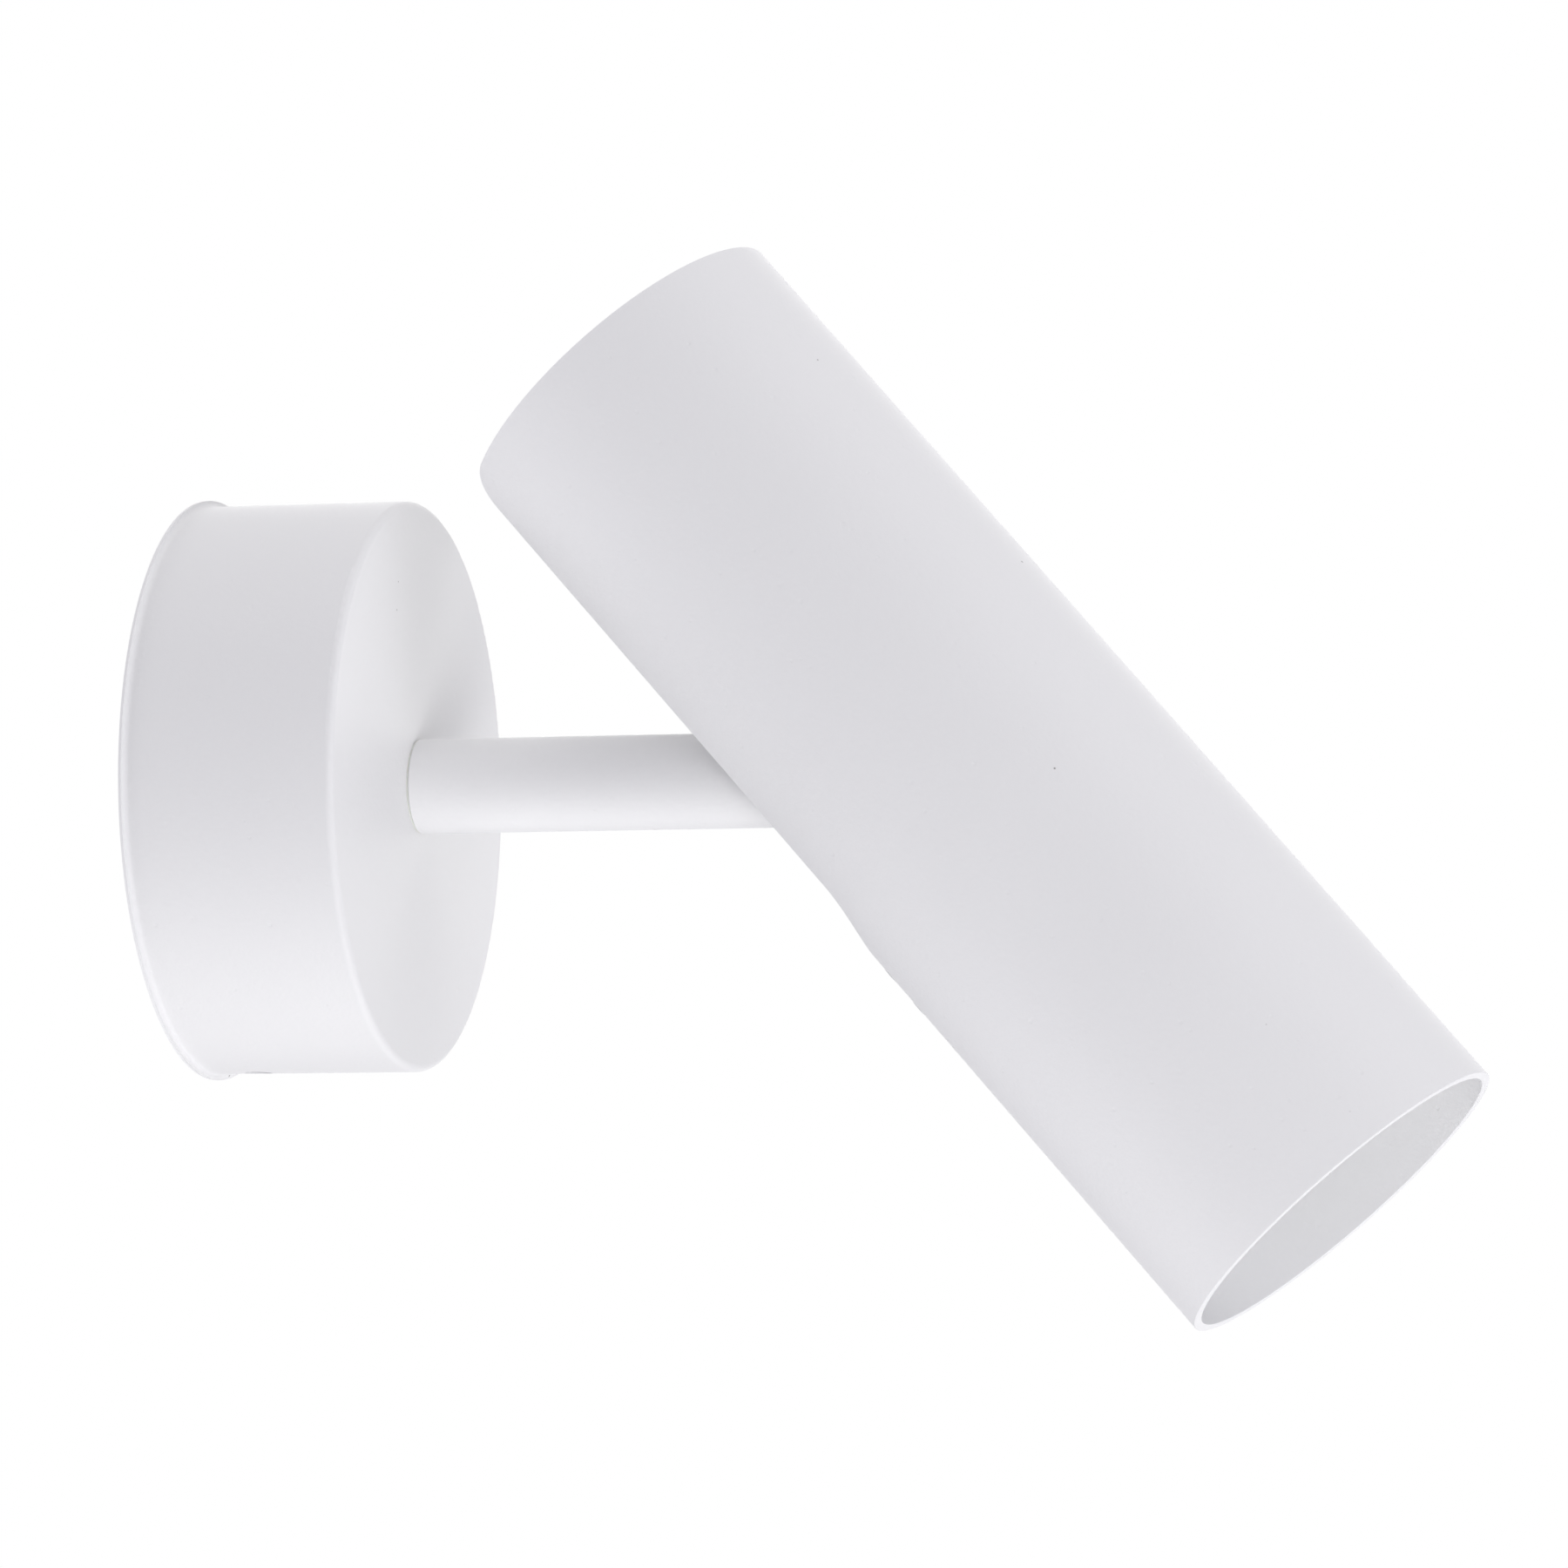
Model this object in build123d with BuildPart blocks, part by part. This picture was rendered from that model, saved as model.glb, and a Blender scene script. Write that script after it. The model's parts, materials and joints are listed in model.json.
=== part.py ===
from build123d import *
import math
import os

# Pivoting spotlight wall light. The wall is the plane Y = 0, the room is on the -Y side and +Z is up.
# The origin is the middle of the canopy's back. The lamp tube is set down and out from the wall.
# "Distance" below always means the distance out from the wall, "along" the distance along the lamp
# tube from its pivot, positive towards the mouth.

os.makedirs("parts", exist_ok=True)

# ---- Fits ----
running_gap = 0.05  # radial, round a shaft that turns in a hole
thread_gap = 0.05  # radial, round a screw in its tapped hole
screw_gap = 0.2  # radial, round a screw in a plain hole
face_gap = 0.05  # between two faces that turn on each other
loose_gap = 0.3  # round a piece that is set in place by hand
lead_gap = 0.2  # round a lead in its hole

# ---- Canopy, the round cover on the wall ----
canopy_radius = 45.8
canopy_depth = 34.6
canopy_wall = 1.2
canopy_edge_radius = 1.2
canopy_inner_edge_radius = 0.8
lip_reach = 1.0  # how far the lip at the wall stands out past the side
lip_thickness = 0.4
lip_flare_radius = 0.9
stiffener_radius = 20.0
stiffener_thickness = 1.5

# ---- Wall plate ----
plate_clearance = 2.6  # round the plate inside the canopy
plate_thickness = 1.5
plate_bend_radius = 1.0
tab_width = 12.0
tab_reach = 13.0
wall_slot_spacing = 56.0
wall_slot_length = 12.0
wall_slot_radius = 2.3
grub_radius = 2.0
grub_length = 5.0
grub_distance = 8.0
grub_recess = 0.3
hex_key_size = 2.0
hex_key_depth = 2.5

# ---- Cable bush in the middle of the wall plate ----
cable_bush_bore = 4.5
cable_bush_wall = 1.5
cable_bush_flange_reach = 2.0
cable_bush_flange_thickness = 1.2

# ---- Terminal block: live, earth and neutral ----
terminal_across = 22.0  # from the middle of the wall plate to the middle of the block
terminal_pitch = 12.0
terminal_width = 16.0
terminal_barrel_width = 7.2
terminal_height = 14.0
terminal_web_width = 12.0
terminal_web_height = 8.0
terminal_edge_radius = 2.5
terminal_wire_height = 6.0
sleeve_radius = 2.2
sleeve_bore = 1.45
sleeve_length = 14.0
clamp_screw_radius = 1.3
clamp_screw_length = 4.0
clamp_screw_spacing = 7.0
clamp_screw_slot = 0.5
fixing_screw_radius = 1.25
fixing_head_radius = 2.2
fixing_head_height = 1.6
screw_tip_setback = 0.2  # how far screws in the wall plate stay in front of the wall

# ---- Earth screw on the wall plate ----
earth_across = -16.0
earth_up = -18.0
earth_screw_radius = 2.0
earth_head_radius = 3.9
earth_head_height = 2.4
earth_washer_thickness = 0.8
lug_radius = 3.9
lug_thickness = 0.8
lug_barrel_radius = 1.7
lug_barrel_start = 5.0
lug_barrel_length = 6.0

# ---- Swivel, where the arm turns in the canopy ----
spindle_radius = 5.0
spindle_bore = 3.5
spindle_key_flat = 4.3  # from the spindle's axis to its flat
spindle_overhang = 1.0
bush_wall = 1.5
bush_flange_radius = 9.5
bush_flange_thickness = 1.0
seat_washer_thickness = 0.25
stop_washer_radius = 9.0
stop_washer_thickness = 1.0
stop_lug_reach = 14.0
stop_lug_width = 5.0
stop_pin_offset = 12.0
stop_pin_radius = 1.5
stop_pin_overlap = 1.0
swivel_spring_radius = 9.0
swivel_spring_thickness = 0.5
swivel_spring_height = 1.0
swivel_washer_radius = 9.0
swivel_washer_thickness = 1.0
swivel_nut_size = 14.0
swivel_nut_height = 4.0
swivel_lock_nut_height = 3.0

# ---- Arm ----
arm_radius = 7.6
arm_wall = 1.2
arm_end_edge_radius = 0.15
socket_length = 14.0
socket_thread_depth = 12.0
spindle_engagement = 11.0
pivot_distance = 125.3
knuckle_collar_thickness = 1.5
knuckle_spigot_length = 15.0
tongue_width = 8.0
tongue_radius = 6.0
lead_groove_length = 10.0
lead_groove_floor = 1.2  # how far below the arm's axis the groove's floor is
window_length = 8.0
window_width = 6.8
set_screw_radius = 1.5
set_screw_length = 4.0
pivot_bush_radius = 3.0

# ---- Lamp tube ----
tilt = 48.5  # degrees the tube points down from straight out
tube_radius = 30.0
tube_wall = 1.5
front_length = 90.0  # from the pivot to the mouth
rear_length = 87.0  # from the pivot to the open rear end
rim_edge_radius = 0.15
slot_half_width = 12.5
slot_corner_radius = 5.5

# ---- Pivot clevis and bulkhead inside the tube ----
sheet_thickness = 1.5
clevis_radius = 6.5
clevis_clearance = 1.0  # between the clevis and the arm's collar
web_along = 9.0
friction_disc_radius = 6.0
friction_disc_thickness = 0.5
pivot_screw_radius = 2.0
pivot_screw_length = 20.0
pivot_head_radius = 3.5
pivot_head_height = 2.4
pivot_washer_radius = 4.5
pivot_washer_thickness = 0.8
pivot_spring_height = 1.0
pivot_spring_thickness = 0.5
pivot_nut_size = 7.0
pivot_nut_height = 4.2
foot_width = 14.0
foot_length = 14.0
vent_across = 20.5
vent_length = 20.0
vent_width = 5.0
tube_screw_radius = 1.5
tube_screw_head_radius = 2.5
tube_screw_length = 5.0
tube_screw_spacing = 7.0

# ---- Lampholder ----
holder_radius = 14.0
holder_cover_thickness = 2.0
holder_body_height = 11.5
holder_face_thickness = 2.6
holder_edge = 1.0
holder_screw_offset = 10.5
holder_screw_radius = 1.5
holder_head_radius = 2.75
holder_head_height = 2.0
holder_counterbore_depth = 4.0
holder_screw_tail = 0.8
lead_height = 8.6  # of the leads above the tube's axis where they enter the holder
lead_chamber_height = 2.5
contact_thickness = 0.4
contact_width = 3.0
contact_foot_width = 2.0
contact_detour = 5.2  # how far to the side the lower contact's foot passes the upper contact
contact_gap = 0.3

# ---- Reflector lamp with two twist-lock pins ----
pin_offset = 5.0
pin_radius = 1.25
pin_length = 7.2
pin_head_radius = 2.4
pin_head_height = 2.5
pin_root = 3.0
lamp_twist = 45.0  # degrees from locked to free
lamp_gap = 0.5  # between the holder and the lamp's base
lamp_base_radius = 10.5
lamp_base_height = 9.0
lamp_base_draft = 1.0
lamp_neck_radius = 13.0
lamp_neck_start = 7.0
lamp_cup_start = 11.0
lamp_rim_radius = 25.0
lamp_rim_height = 6.0
lamp_length = 47.0
lamp_wall = 1.2
lens_recess = 1.5
lens_thickness = 2.0
board_along = 24.0  # from the lamp's base to its light board
board_thickness = 1.5
board_ledge = 2.0
emitter_radius = 5.0
emitter_thickness = 0.8

# ---- Leads ----
lead_radius = 1.0
lead_offset = 2.0  # of each lead from the middle
lead_insertion = 5.0
lead_overlap = 1.0  # how far the canopy's leads reach into the spindle
lead_straight = 4.0  # from the terminal block to where a lead turns
supply_lead_bend = 3.0
earth_lead_bend = 4.0
lead_rise_radius = 5.0
head_lead_lift = 9.0  # straight up out of the arm
head_lead_run = 18.0  # behind the pivot, where the head's leads turn down to the holder
head_lead_first_bend = 4.0
head_lead_second_bend = 8.0

# ---- Places worked out from the sizes above ----
canopy_inner_radius = canopy_radius - canopy_wall
canopy_inner_face = canopy_depth - canopy_wall
stiffener_back = canopy_inner_face - stiffener_thickness
bush_radius = spindle_radius + running_gap + bush_wall
bush_back = stiffener_back - bush_flange_thickness
stop_washer_front = bush_back - face_gap
stop_washer_back = stop_washer_front - stop_washer_thickness
swivel_spring_back = stop_washer_back - swivel_spring_height
swivel_washer_back = swivel_spring_back - swivel_washer_thickness
swivel_nut_back = swivel_washer_back - swivel_nut_height
swivel_lock_nut_back = swivel_nut_back - swivel_lock_nut_height
spindle_back = swivel_lock_nut_back - spindle_overhang
arm_back = canopy_depth + seat_washer_thickness + face_gap
arm_inner_radius = arm_radius - arm_wall
plug_radius = arm_inner_radius - running_gap
spindle_front = arm_back + spindle_engagement
collar_front = pivot_distance - clevis_radius - clevis_clearance
arm_front = collar_front - knuckle_collar_thickness
spigot_back = arm_front - knuckle_spigot_length
groove_front = spigot_back + lead_groove_length
lead_rise = spigot_back + lead_rise_radius + lead_radius  # distance at which the leads turn up
window_middle = lead_rise
set_screw_distance = (groove_front + arm_front) / 2
tongue_side = tongue_width / 2
disc_inner_side = tongue_side + face_gap
cheek_inner_side = disc_inner_side + friction_disc_thickness
cheek_outer_side = cheek_inner_side + sheet_thickness
bulkhead_along = web_along + sheet_thickness
cover_along = bulkhead_along + sheet_thickness
holder_along = cover_along + holder_cover_thickness
holder_front = holder_along + holder_body_height
holder_floor = holder_front - holder_face_thickness
lamp_along = holder_front + lamp_gap
pin_tip_along = lamp_along - pin_length
tube_bore = tube_radius - tube_wall
bulkhead_radius = tube_bore - loose_gap
plate_radius = canopy_inner_radius - plate_clearance
tab_outer = math.sqrt((canopy_inner_radius - loose_gap) ** 2 - (tab_width / 2) ** 2)
tab_inner = tab_outer - plate_thickness
cable_hole_radius = cable_bush_bore + cable_bush_wall
wire_distance = plate_thickness + terminal_wire_height
terminal_face = terminal_across - terminal_width / 2

# ---- Directions and planes ----
across = Vector(1, 0, 0)
out = Vector(0, -1, 0)
up = Vector(0, 0, 1)
forward = Vector(0, -math.cos(math.radians(tilt)), -math.sin(math.radians(tilt)))  # along the lamp tube
above = Vector(0, -math.sin(math.radians(tilt)), math.cos(math.radians(tilt)))  # square to the tube, away from the wall
pivot = out * pivot_distance
swivel_axis = Axis((0, 0, 0), out)
tube_axis = Axis(pivot, forward)


def from_wall(distance):
    """A plane parallel to the wall: X across, Y up and Z out into the room."""
    return Plane(origin=out * distance, x_dir=across, z_dir=out)


def across_tube(along):
    """A plane square to the lamp tube: X across, Y away from the wall and Z towards the mouth."""
    return Plane(origin=pivot + forward * along, x_dir=across, z_dir=forward)


def sideways(side, distance):
    """A plane facing sideways at the pivot: side is 1 or -1, distance is from the tube's axis."""
    return Plane(origin=pivot + across * (side * distance), x_dir=forward, z_dir=across * side)


swivel_profile = Plane(origin=(0, 0, 0), x_dir=out, z_dir=-across)  # X is the distance, Y the radius
tube_profile = Plane(origin=pivot, x_dir=forward, z_dir=-across)  # X is the place along, Y the radius


# ---- Shapes that several pieces share ----
def hex_nut(plane, size, hole_radius, height):
    """A nut standing on a plane, with its corners bevelled at both ends."""
    corner_radius = size / math.sqrt(3)
    with BuildPart() as nut:
        with BuildSketch(plane):
            Circle(corner_radius)
        extrude(amount=height)
        chamfer(nut.edges().filter_by(GeomType.CIRCLE), (corner_radius - size / 2) / 2)
        with BuildSketch(plane):
            RegularPolygon(size / 2, 6, major_radius=False)
            Circle(hole_radius, mode=Mode.SUBTRACT)
        extrude(amount=height, mode=Mode.INTERSECT)
    return nut.part


def pan_screw(plane, radius, length, head_radius, head_height):
    """A screw with a rounded head. The plane is under the head and its Z points out of the head."""
    arm_width = radius * 0.45
    with BuildPart() as screw:
        with BuildSketch(plane):
            Circle(head_radius)
        extrude(amount=head_height)
        fillet(screw.edges().filter_by(GeomType.CIRCLE).sort_by(Axis(plane.origin, plane.z_dir))[-1], head_height * 0.45)
        with BuildSketch(plane):
            Circle(radius)
        extrude(amount=-length)
        with BuildSketch(plane.offset(head_height)):
            Rectangle(head_radius, arm_width)
            Rectangle(arm_width, head_radius)
        extrude(amount=-head_height * 0.6, mode=Mode.SUBTRACT)
    return screw.part


def disc_spring(profile, axis, start, hole_radius, outer_radius, thickness, height):
    """A dished washer. Its hole end is at start and its rim stands off by its height."""
    with BuildPart() as spring:
        with BuildSketch(profile):
            with BuildLine():
                Polyline(
                    (start, hole_radius),
                    (start + thickness, hole_radius),
                    (start + height, outer_radius),
                    (start + height - thickness, outer_radius),
                    close=True,
                )
            make_face()
        revolve(axis=axis)
    return spring.part


def lead(route, radii):
    """A round insulated lead along straight runs joined by arcs."""
    with BuildPart() as wire:
        with BuildLine() as path:
            FilletPolyline(*route, radius=radii)
        with BuildSketch(Plane(origin=path.line @ 0, z_dir=path.line % 0)):
            Circle(lead_radius)
        sweep()
    return wire.part


# ==== Wall mount: everything that stays still ====
with BuildPart() as canopy:
    with BuildSketch(from_wall(0)):
        Circle(canopy_radius)
    extrude(amount=canopy_depth)
    fillet(canopy.edges().filter_by(GeomType.CIRCLE).sort_by(swivel_axis)[-1], canopy_edge_radius)
    with BuildSketch(from_wall(0)):
        Circle(canopy_radius + lip_reach)
    extrude(amount=lip_thickness)
    flare_root = canopy.edges().filter_by(GeomType.CIRCLE).filter_by(
        lambda edge: abs(edge.radius - canopy_radius) < 0.001 and abs(-edge.center().Y - lip_thickness) < 0.001
    )
    fillet(flare_root, lip_flare_radius)
    with BuildSketch(from_wall(0)):
        Circle(canopy_inner_radius)
    extrude(amount=canopy_inner_face, mode=Mode.SUBTRACT)
    inner_corner = canopy.edges().filter_by(GeomType.CIRCLE).filter_by(
        lambda edge: abs(edge.radius - canopy_inner_radius) < 0.001 and abs(-edge.center().Y - canopy_inner_face) < 0.001
    )
    fillet(inner_corner, canopy_inner_edge_radius)
    with BuildSketch(from_wall(0)):
        Circle(bush_radius + running_gap)
    extrude(amount=canopy_depth, mode=Mode.SUBTRACT)
    with BuildSketch(Plane(origin=out * grub_distance, z_dir=up)):
        Circle(grub_radius + screw_gap)
    extrude(amount=canopy_radius + 1, both=True, mode=Mode.SUBTRACT)

with BuildPart() as face_stiffener:
    with BuildSketch(from_wall(stiffener_back)):
        Circle(stiffener_radius)
        Circle(bush_radius + running_gap, mode=Mode.SUBTRACT)
        with Locations((0, stop_pin_offset)):
            Circle(stop_pin_radius + running_gap, mode=Mode.SUBTRACT)
    extrude(amount=stiffener_thickness)

with BuildPart() as stop_pin:
    with BuildSketch(from_wall(stop_washer_back - stop_pin_overlap)):
        with Locations((0, stop_pin_offset)):
            Circle(stop_pin_radius)
    extrude(amount=canopy_inner_face - stop_washer_back + stop_pin_overlap)
    chamfer(stop_pin.edges().filter_by(GeomType.CIRCLE).sort_by(swivel_axis)[0], stop_pin_radius / 5)

with BuildPart() as swivel_bush:
    with BuildSketch(from_wall(bush_back)):
        Circle(bush_flange_radius)
        Circle(spindle_radius + running_gap, mode=Mode.SUBTRACT)
    extrude(amount=bush_flange_thickness)
    with BuildSketch(from_wall(stiffener_back)):
        Circle(bush_radius)
        Circle(spindle_radius + running_gap, mode=Mode.SUBTRACT)
    extrude(amount=canopy_depth - stiffener_back)

with BuildPart() as seat_washer:
    with BuildSketch(from_wall(canopy_depth)):
        Circle(arm_radius - arm_end_edge_radius)
        Circle(spindle_radius + running_gap, mode=Mode.SUBTRACT)
    extrude(amount=seat_washer_thickness)

with BuildPart() as wall_plate:
    with BuildSketch(from_wall(0)):
        Circle(plate_radius)
        Rectangle(tab_width, 2 * tab_outer)
    extrude(amount=plate_thickness)
    for side in (1, -1):
        with BuildSketch(from_wall(0)):
            with Locations((0, side * (tab_inner + tab_outer) / 2)):
                Rectangle(tab_width, plate_thickness)
        extrude(amount=tab_reach)
    bends = wall_plate.edges().filter_by(Axis.X).filter_by(
        lambda edge: abs(abs(edge.center().Z) - tab_inner) < 0.001 and abs(-edge.center().Y - plate_thickness) < 0.001
    )
    fillet(bends, plate_bend_radius)
    outer_bends = wall_plate.edges().filter_by(Axis.X).filter_by(
        lambda edge: abs(abs(edge.center().Z) - tab_outer) < 0.001 and abs(edge.center().Y) < 0.001
    )
    fillet(outer_bends, plate_bend_radius + plate_thickness * 0.8)
    tab_corners = wall_plate.edges().filter_by(Axis.Z).filter_by(lambda edge: abs(-edge.center().Y - tab_reach) < 0.001)
    fillet(tab_corners, tab_width / 4)
    with BuildSketch(from_wall(0)):
        Circle(cable_hole_radius + running_gap)
        with Locations((0, wall_slot_spacing / 2), (0, -wall_slot_spacing / 2)):
            SlotOverall(wall_slot_length, 2 * wall_slot_radius, rotation=90)
        with Locations((earth_across, earth_up)):
            Circle(earth_screw_radius + thread_gap)
        with Locations((terminal_across, terminal_pitch / 2), (terminal_across, -terminal_pitch / 2)):
            Circle(fixing_screw_radius + thread_gap)
    extrude(amount=plate_thickness, mode=Mode.SUBTRACT)
    with BuildSketch(Plane(origin=out * grub_distance, z_dir=up)):
        Circle(grub_radius + thread_gap)
    extrude(amount=tab_outer + 1, both=True, mode=Mode.SUBTRACT)

with BuildPart() as canopy_grub_screws:
    for side in (1, -1):
        outer_end = Plane(
            origin=out * grub_distance + up * (side * (canopy_radius - grub_recess)), x_dir=across, z_dir=up * side
        )
        with BuildSketch(outer_end):
            Circle(grub_radius)
        extrude(amount=-grub_length)
        with BuildSketch(outer_end):
            RegularPolygon(hex_key_size / 2, 6, major_radius=False)
        extrude(amount=-hex_key_depth, mode=Mode.SUBTRACT)
    tips = canopy_grub_screws.edges().filter_by(GeomType.CIRCLE).filter_by(
        lambda edge: abs(edge.center().Z) < canopy_radius - grub_recess - grub_length / 2
    )
    chamfer(tips, grub_radius / 4)

with BuildPart() as cable_bush:
    with BuildSketch(from_wall(0)):
        Circle(cable_hole_radius)
    extrude(amount=plate_thickness)
    with BuildSketch(from_wall(plate_thickness)):
        Circle(cable_hole_radius + cable_bush_flange_reach)
    extrude(amount=cable_bush_flange_thickness)
    fillet(cable_bush.edges().filter_by(GeomType.CIRCLE).sort_by(swivel_axis)[-1], cable_bush_flange_thickness / 2)
    with BuildSketch(from_wall(0)):
        Circle(cable_bush_bore)
    extrude(amount=plate_thickness + cable_bush_flange_thickness, mode=Mode.SUBTRACT)

with BuildPart() as terminal_block:
    with BuildSketch(from_wall(plate_thickness)):
        with Locations((terminal_across, 0)):
            Rectangle(terminal_web_width, 2 * terminal_pitch + terminal_barrel_width)
    extrude(amount=terminal_web_height)
    for pole in (-1, 0, 1):
        barrel_plane = Plane(
            origin=(terminal_face, -plate_thickness, pole * terminal_pitch), x_dir=up, z_dir=across
        )
        with BuildSketch(barrel_plane):
            with Locations((0, terminal_height / 2)):
                Rectangle(terminal_barrel_width, terminal_height)
        extrude(amount=terminal_width)
    crowns = terminal_block.edges().filter_by(Axis.X).group_by(swivel_axis)[-1]
    fillet(crowns, terminal_edge_radius)
    for pole in (-1, 0, 1):
        with BuildSketch(Plane(origin=(terminal_face, -wire_distance, pole * terminal_pitch), z_dir=across)):
            Circle(sleeve_radius + running_gap)
        extrude(amount=terminal_width, mode=Mode.SUBTRACT)
    with BuildSketch(from_wall(wire_distance)):
        with Locations((terminal_across, 0)):
            with GridLocations(clamp_screw_spacing, terminal_pitch, 2, 3):
                Circle(clamp_screw_radius + screw_gap)
    extrude(amount=terminal_height, mode=Mode.SUBTRACT)
    with BuildSketch(from_wall(plate_thickness)):
        with Locations((terminal_across, terminal_pitch / 2), (terminal_across, -terminal_pitch / 2)):
            Circle(fixing_screw_radius + screw_gap)
    extrude(amount=terminal_web_height, mode=Mode.SUBTRACT)

with BuildPart() as terminal_sleeves:
    for pole in (-1, 0, 1):
        sleeve_start = (terminal_across - sleeve_length / 2, -wire_distance, pole * terminal_pitch)
        with BuildSketch(Plane(origin=sleeve_start, z_dir=across)):
            Circle(sleeve_radius)
            Circle(sleeve_bore, mode=Mode.SUBTRACT)
        extrude(amount=sleeve_length)
    with BuildSketch(from_wall(wire_distance)):
        with Locations((terminal_across, 0)):
            with GridLocations(clamp_screw_spacing, terminal_pitch, 2, 3):
                Circle(clamp_screw_radius + thread_gap)
    extrude(amount=sleeve_radius, mode=Mode.SUBTRACT)

with BuildPart() as terminal_clamp_screws:
    clamp_tip = wire_distance + lead_radius + thread_gap
    with BuildSketch(from_wall(clamp_tip)):
        with Locations((terminal_across, 0)):
            with GridLocations(clamp_screw_spacing, terminal_pitch, 2, 3):
                Circle(clamp_screw_radius)
    extrude(amount=clamp_screw_length)
    with BuildSketch(from_wall(clamp_tip + clamp_screw_length)):
        with Locations((terminal_across, 0)):
            with GridLocations(clamp_screw_spacing, terminal_pitch, 2, 3):
                Rectangle(2 * clamp_screw_radius, clamp_screw_slot)
    extrude(amount=-clamp_screw_length / 4, mode=Mode.SUBTRACT)

with BuildPart() as terminal_fixing_screws:
    for side in (1, -1):
        head_plane = from_wall(plate_thickness + terminal_web_height)
        head_plane.origin += across * terminal_across + up * (side * terminal_pitch / 2)
        screw_length = plate_thickness + terminal_web_height - screw_tip_setback
        add(pan_screw(head_plane, fixing_screw_radius, screw_length, fixing_head_radius, fixing_head_height))

lug_plane = from_wall(plate_thickness)
lug_plane.origin += across * earth_across + up * earth_up
lug_barrel_plane = Plane(
    origin=lug_plane.origin + across * lug_barrel_start + out * lug_barrel_radius, x_dir=up, z_dir=across
)

with BuildPart() as earth_lug:
    with BuildSketch(lug_plane):
        Circle(lug_radius)
        with Locations((lug_barrel_start / 2, 0)):
            Rectangle(lug_barrel_start, 2 * lug_barrel_radius)
        Circle(earth_screw_radius + screw_gap, mode=Mode.SUBTRACT)
    extrude(amount=lug_thickness)
    with BuildSketch(lug_barrel_plane):
        Circle(lug_barrel_radius)
    extrude(amount=lug_barrel_length)
    with BuildSketch(lug_barrel_plane):
        Circle(lead_radius + running_gap)
    extrude(amount=lug_barrel_length, mode=Mode.SUBTRACT)

with BuildPart() as earth_washer:
    with BuildSketch(lug_plane.offset(lug_thickness)):
        Circle(lug_radius)
        Circle(earth_screw_radius + screw_gap, mode=Mode.SUBTRACT)
    extrude(amount=earth_washer_thickness)

with BuildPart() as earth_screw:
    earth_head_base = lug_thickness + earth_washer_thickness
    earth_screw_length = plate_thickness + earth_head_base - screw_tip_setback
    earth_head_plane = lug_plane.offset(earth_head_base)
    add(pan_screw(earth_head_plane, earth_screw_radius, earth_screw_length, earth_head_radius, earth_head_height))

lead_end_across = terminal_face + lead_insertion
with BuildPart() as earth_lead:
    add(
        lead(
            [
                lug_barrel_plane.origin + across * (lug_barrel_length / 2),
                lug_barrel_plane.origin + across * (lug_barrel_length + lead_straight / 2),
                Vector(terminal_face - lead_straight, -wire_distance, 0),
                Vector(lead_end_across, -wire_distance, 0),
            ],
            radii=[earth_lead_bend, earth_lead_bend],
        )
    )

# The two leads run from the block to the middle and turn out into the spindle's bore.
lead_meeting = spindle_back + lead_overlap  # distance at which the canopy's leads meet the arm's
supply_leads = []
for pole in (1, -1):
    supply_route = [
        Vector(lead_end_across, -wire_distance, pole * terminal_pitch),
        Vector(terminal_face - lead_straight, -wire_distance, pole * terminal_pitch),
        Vector(pole * lead_offset, -wire_distance - lead_straight, 0),
        Vector(pole * lead_offset, -lead_meeting, 0),
    ]
    supply_leads.append(lead(supply_route, radii=[supply_lead_bend, supply_lead_bend]))

with BuildPart() as supply_lead_live:
    add(supply_leads[0])

with BuildPart() as supply_lead_neutral:
    add(supply_leads[1])

# ==== Arm: turns in the canopy ====
with BuildPart() as arm_tube:
    with BuildSketch(from_wall(arm_back)):
        Circle(arm_radius)
        Circle(arm_inner_radius, mode=Mode.SUBTRACT)
    extrude(amount=arm_front - arm_back)
    back_rim = arm_tube.edges().filter_by(GeomType.CIRCLE).sort_by(swivel_axis)[:2].sort_by(lambda edge: edge.radius)[-1]
    fillet(back_rim, arm_end_edge_radius)
    with BuildSketch(Plane(origin=out * window_middle, x_dir=out, z_dir=up)):
        SlotOverall(window_length, window_width)
    extrude(amount=arm_radius, mode=Mode.SUBTRACT)
    with BuildSketch(Plane(origin=out * set_screw_distance, z_dir=-up)):
        Circle(set_screw_radius + thread_gap)
    extrude(amount=arm_radius, mode=Mode.SUBTRACT)

with BuildPart() as arm_socket:
    with BuildSketch(from_wall(arm_back)):
        Circle(plug_radius)
        Circle(spindle_bore, mode=Mode.SUBTRACT)
    extrude(amount=socket_length)
    with BuildSketch(from_wall(arm_back)):
        Circle(spindle_radius + thread_gap)
    extrude(amount=socket_thread_depth, mode=Mode.SUBTRACT)

with BuildPart() as swivel_spindle:
    with BuildSketch(from_wall(spindle_back)):
        Circle(spindle_radius)
        Circle(spindle_bore, mode=Mode.SUBTRACT)
    extrude(amount=spindle_front - spindle_back)
    with BuildSketch(from_wall(spindle_back)):
        with Locations((0, -2 * spindle_key_flat)):
            Rectangle(2 * spindle_radius, 2 * spindle_key_flat)
    extrude(amount=stop_washer_front - spindle_back, mode=Mode.SUBTRACT)

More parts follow.
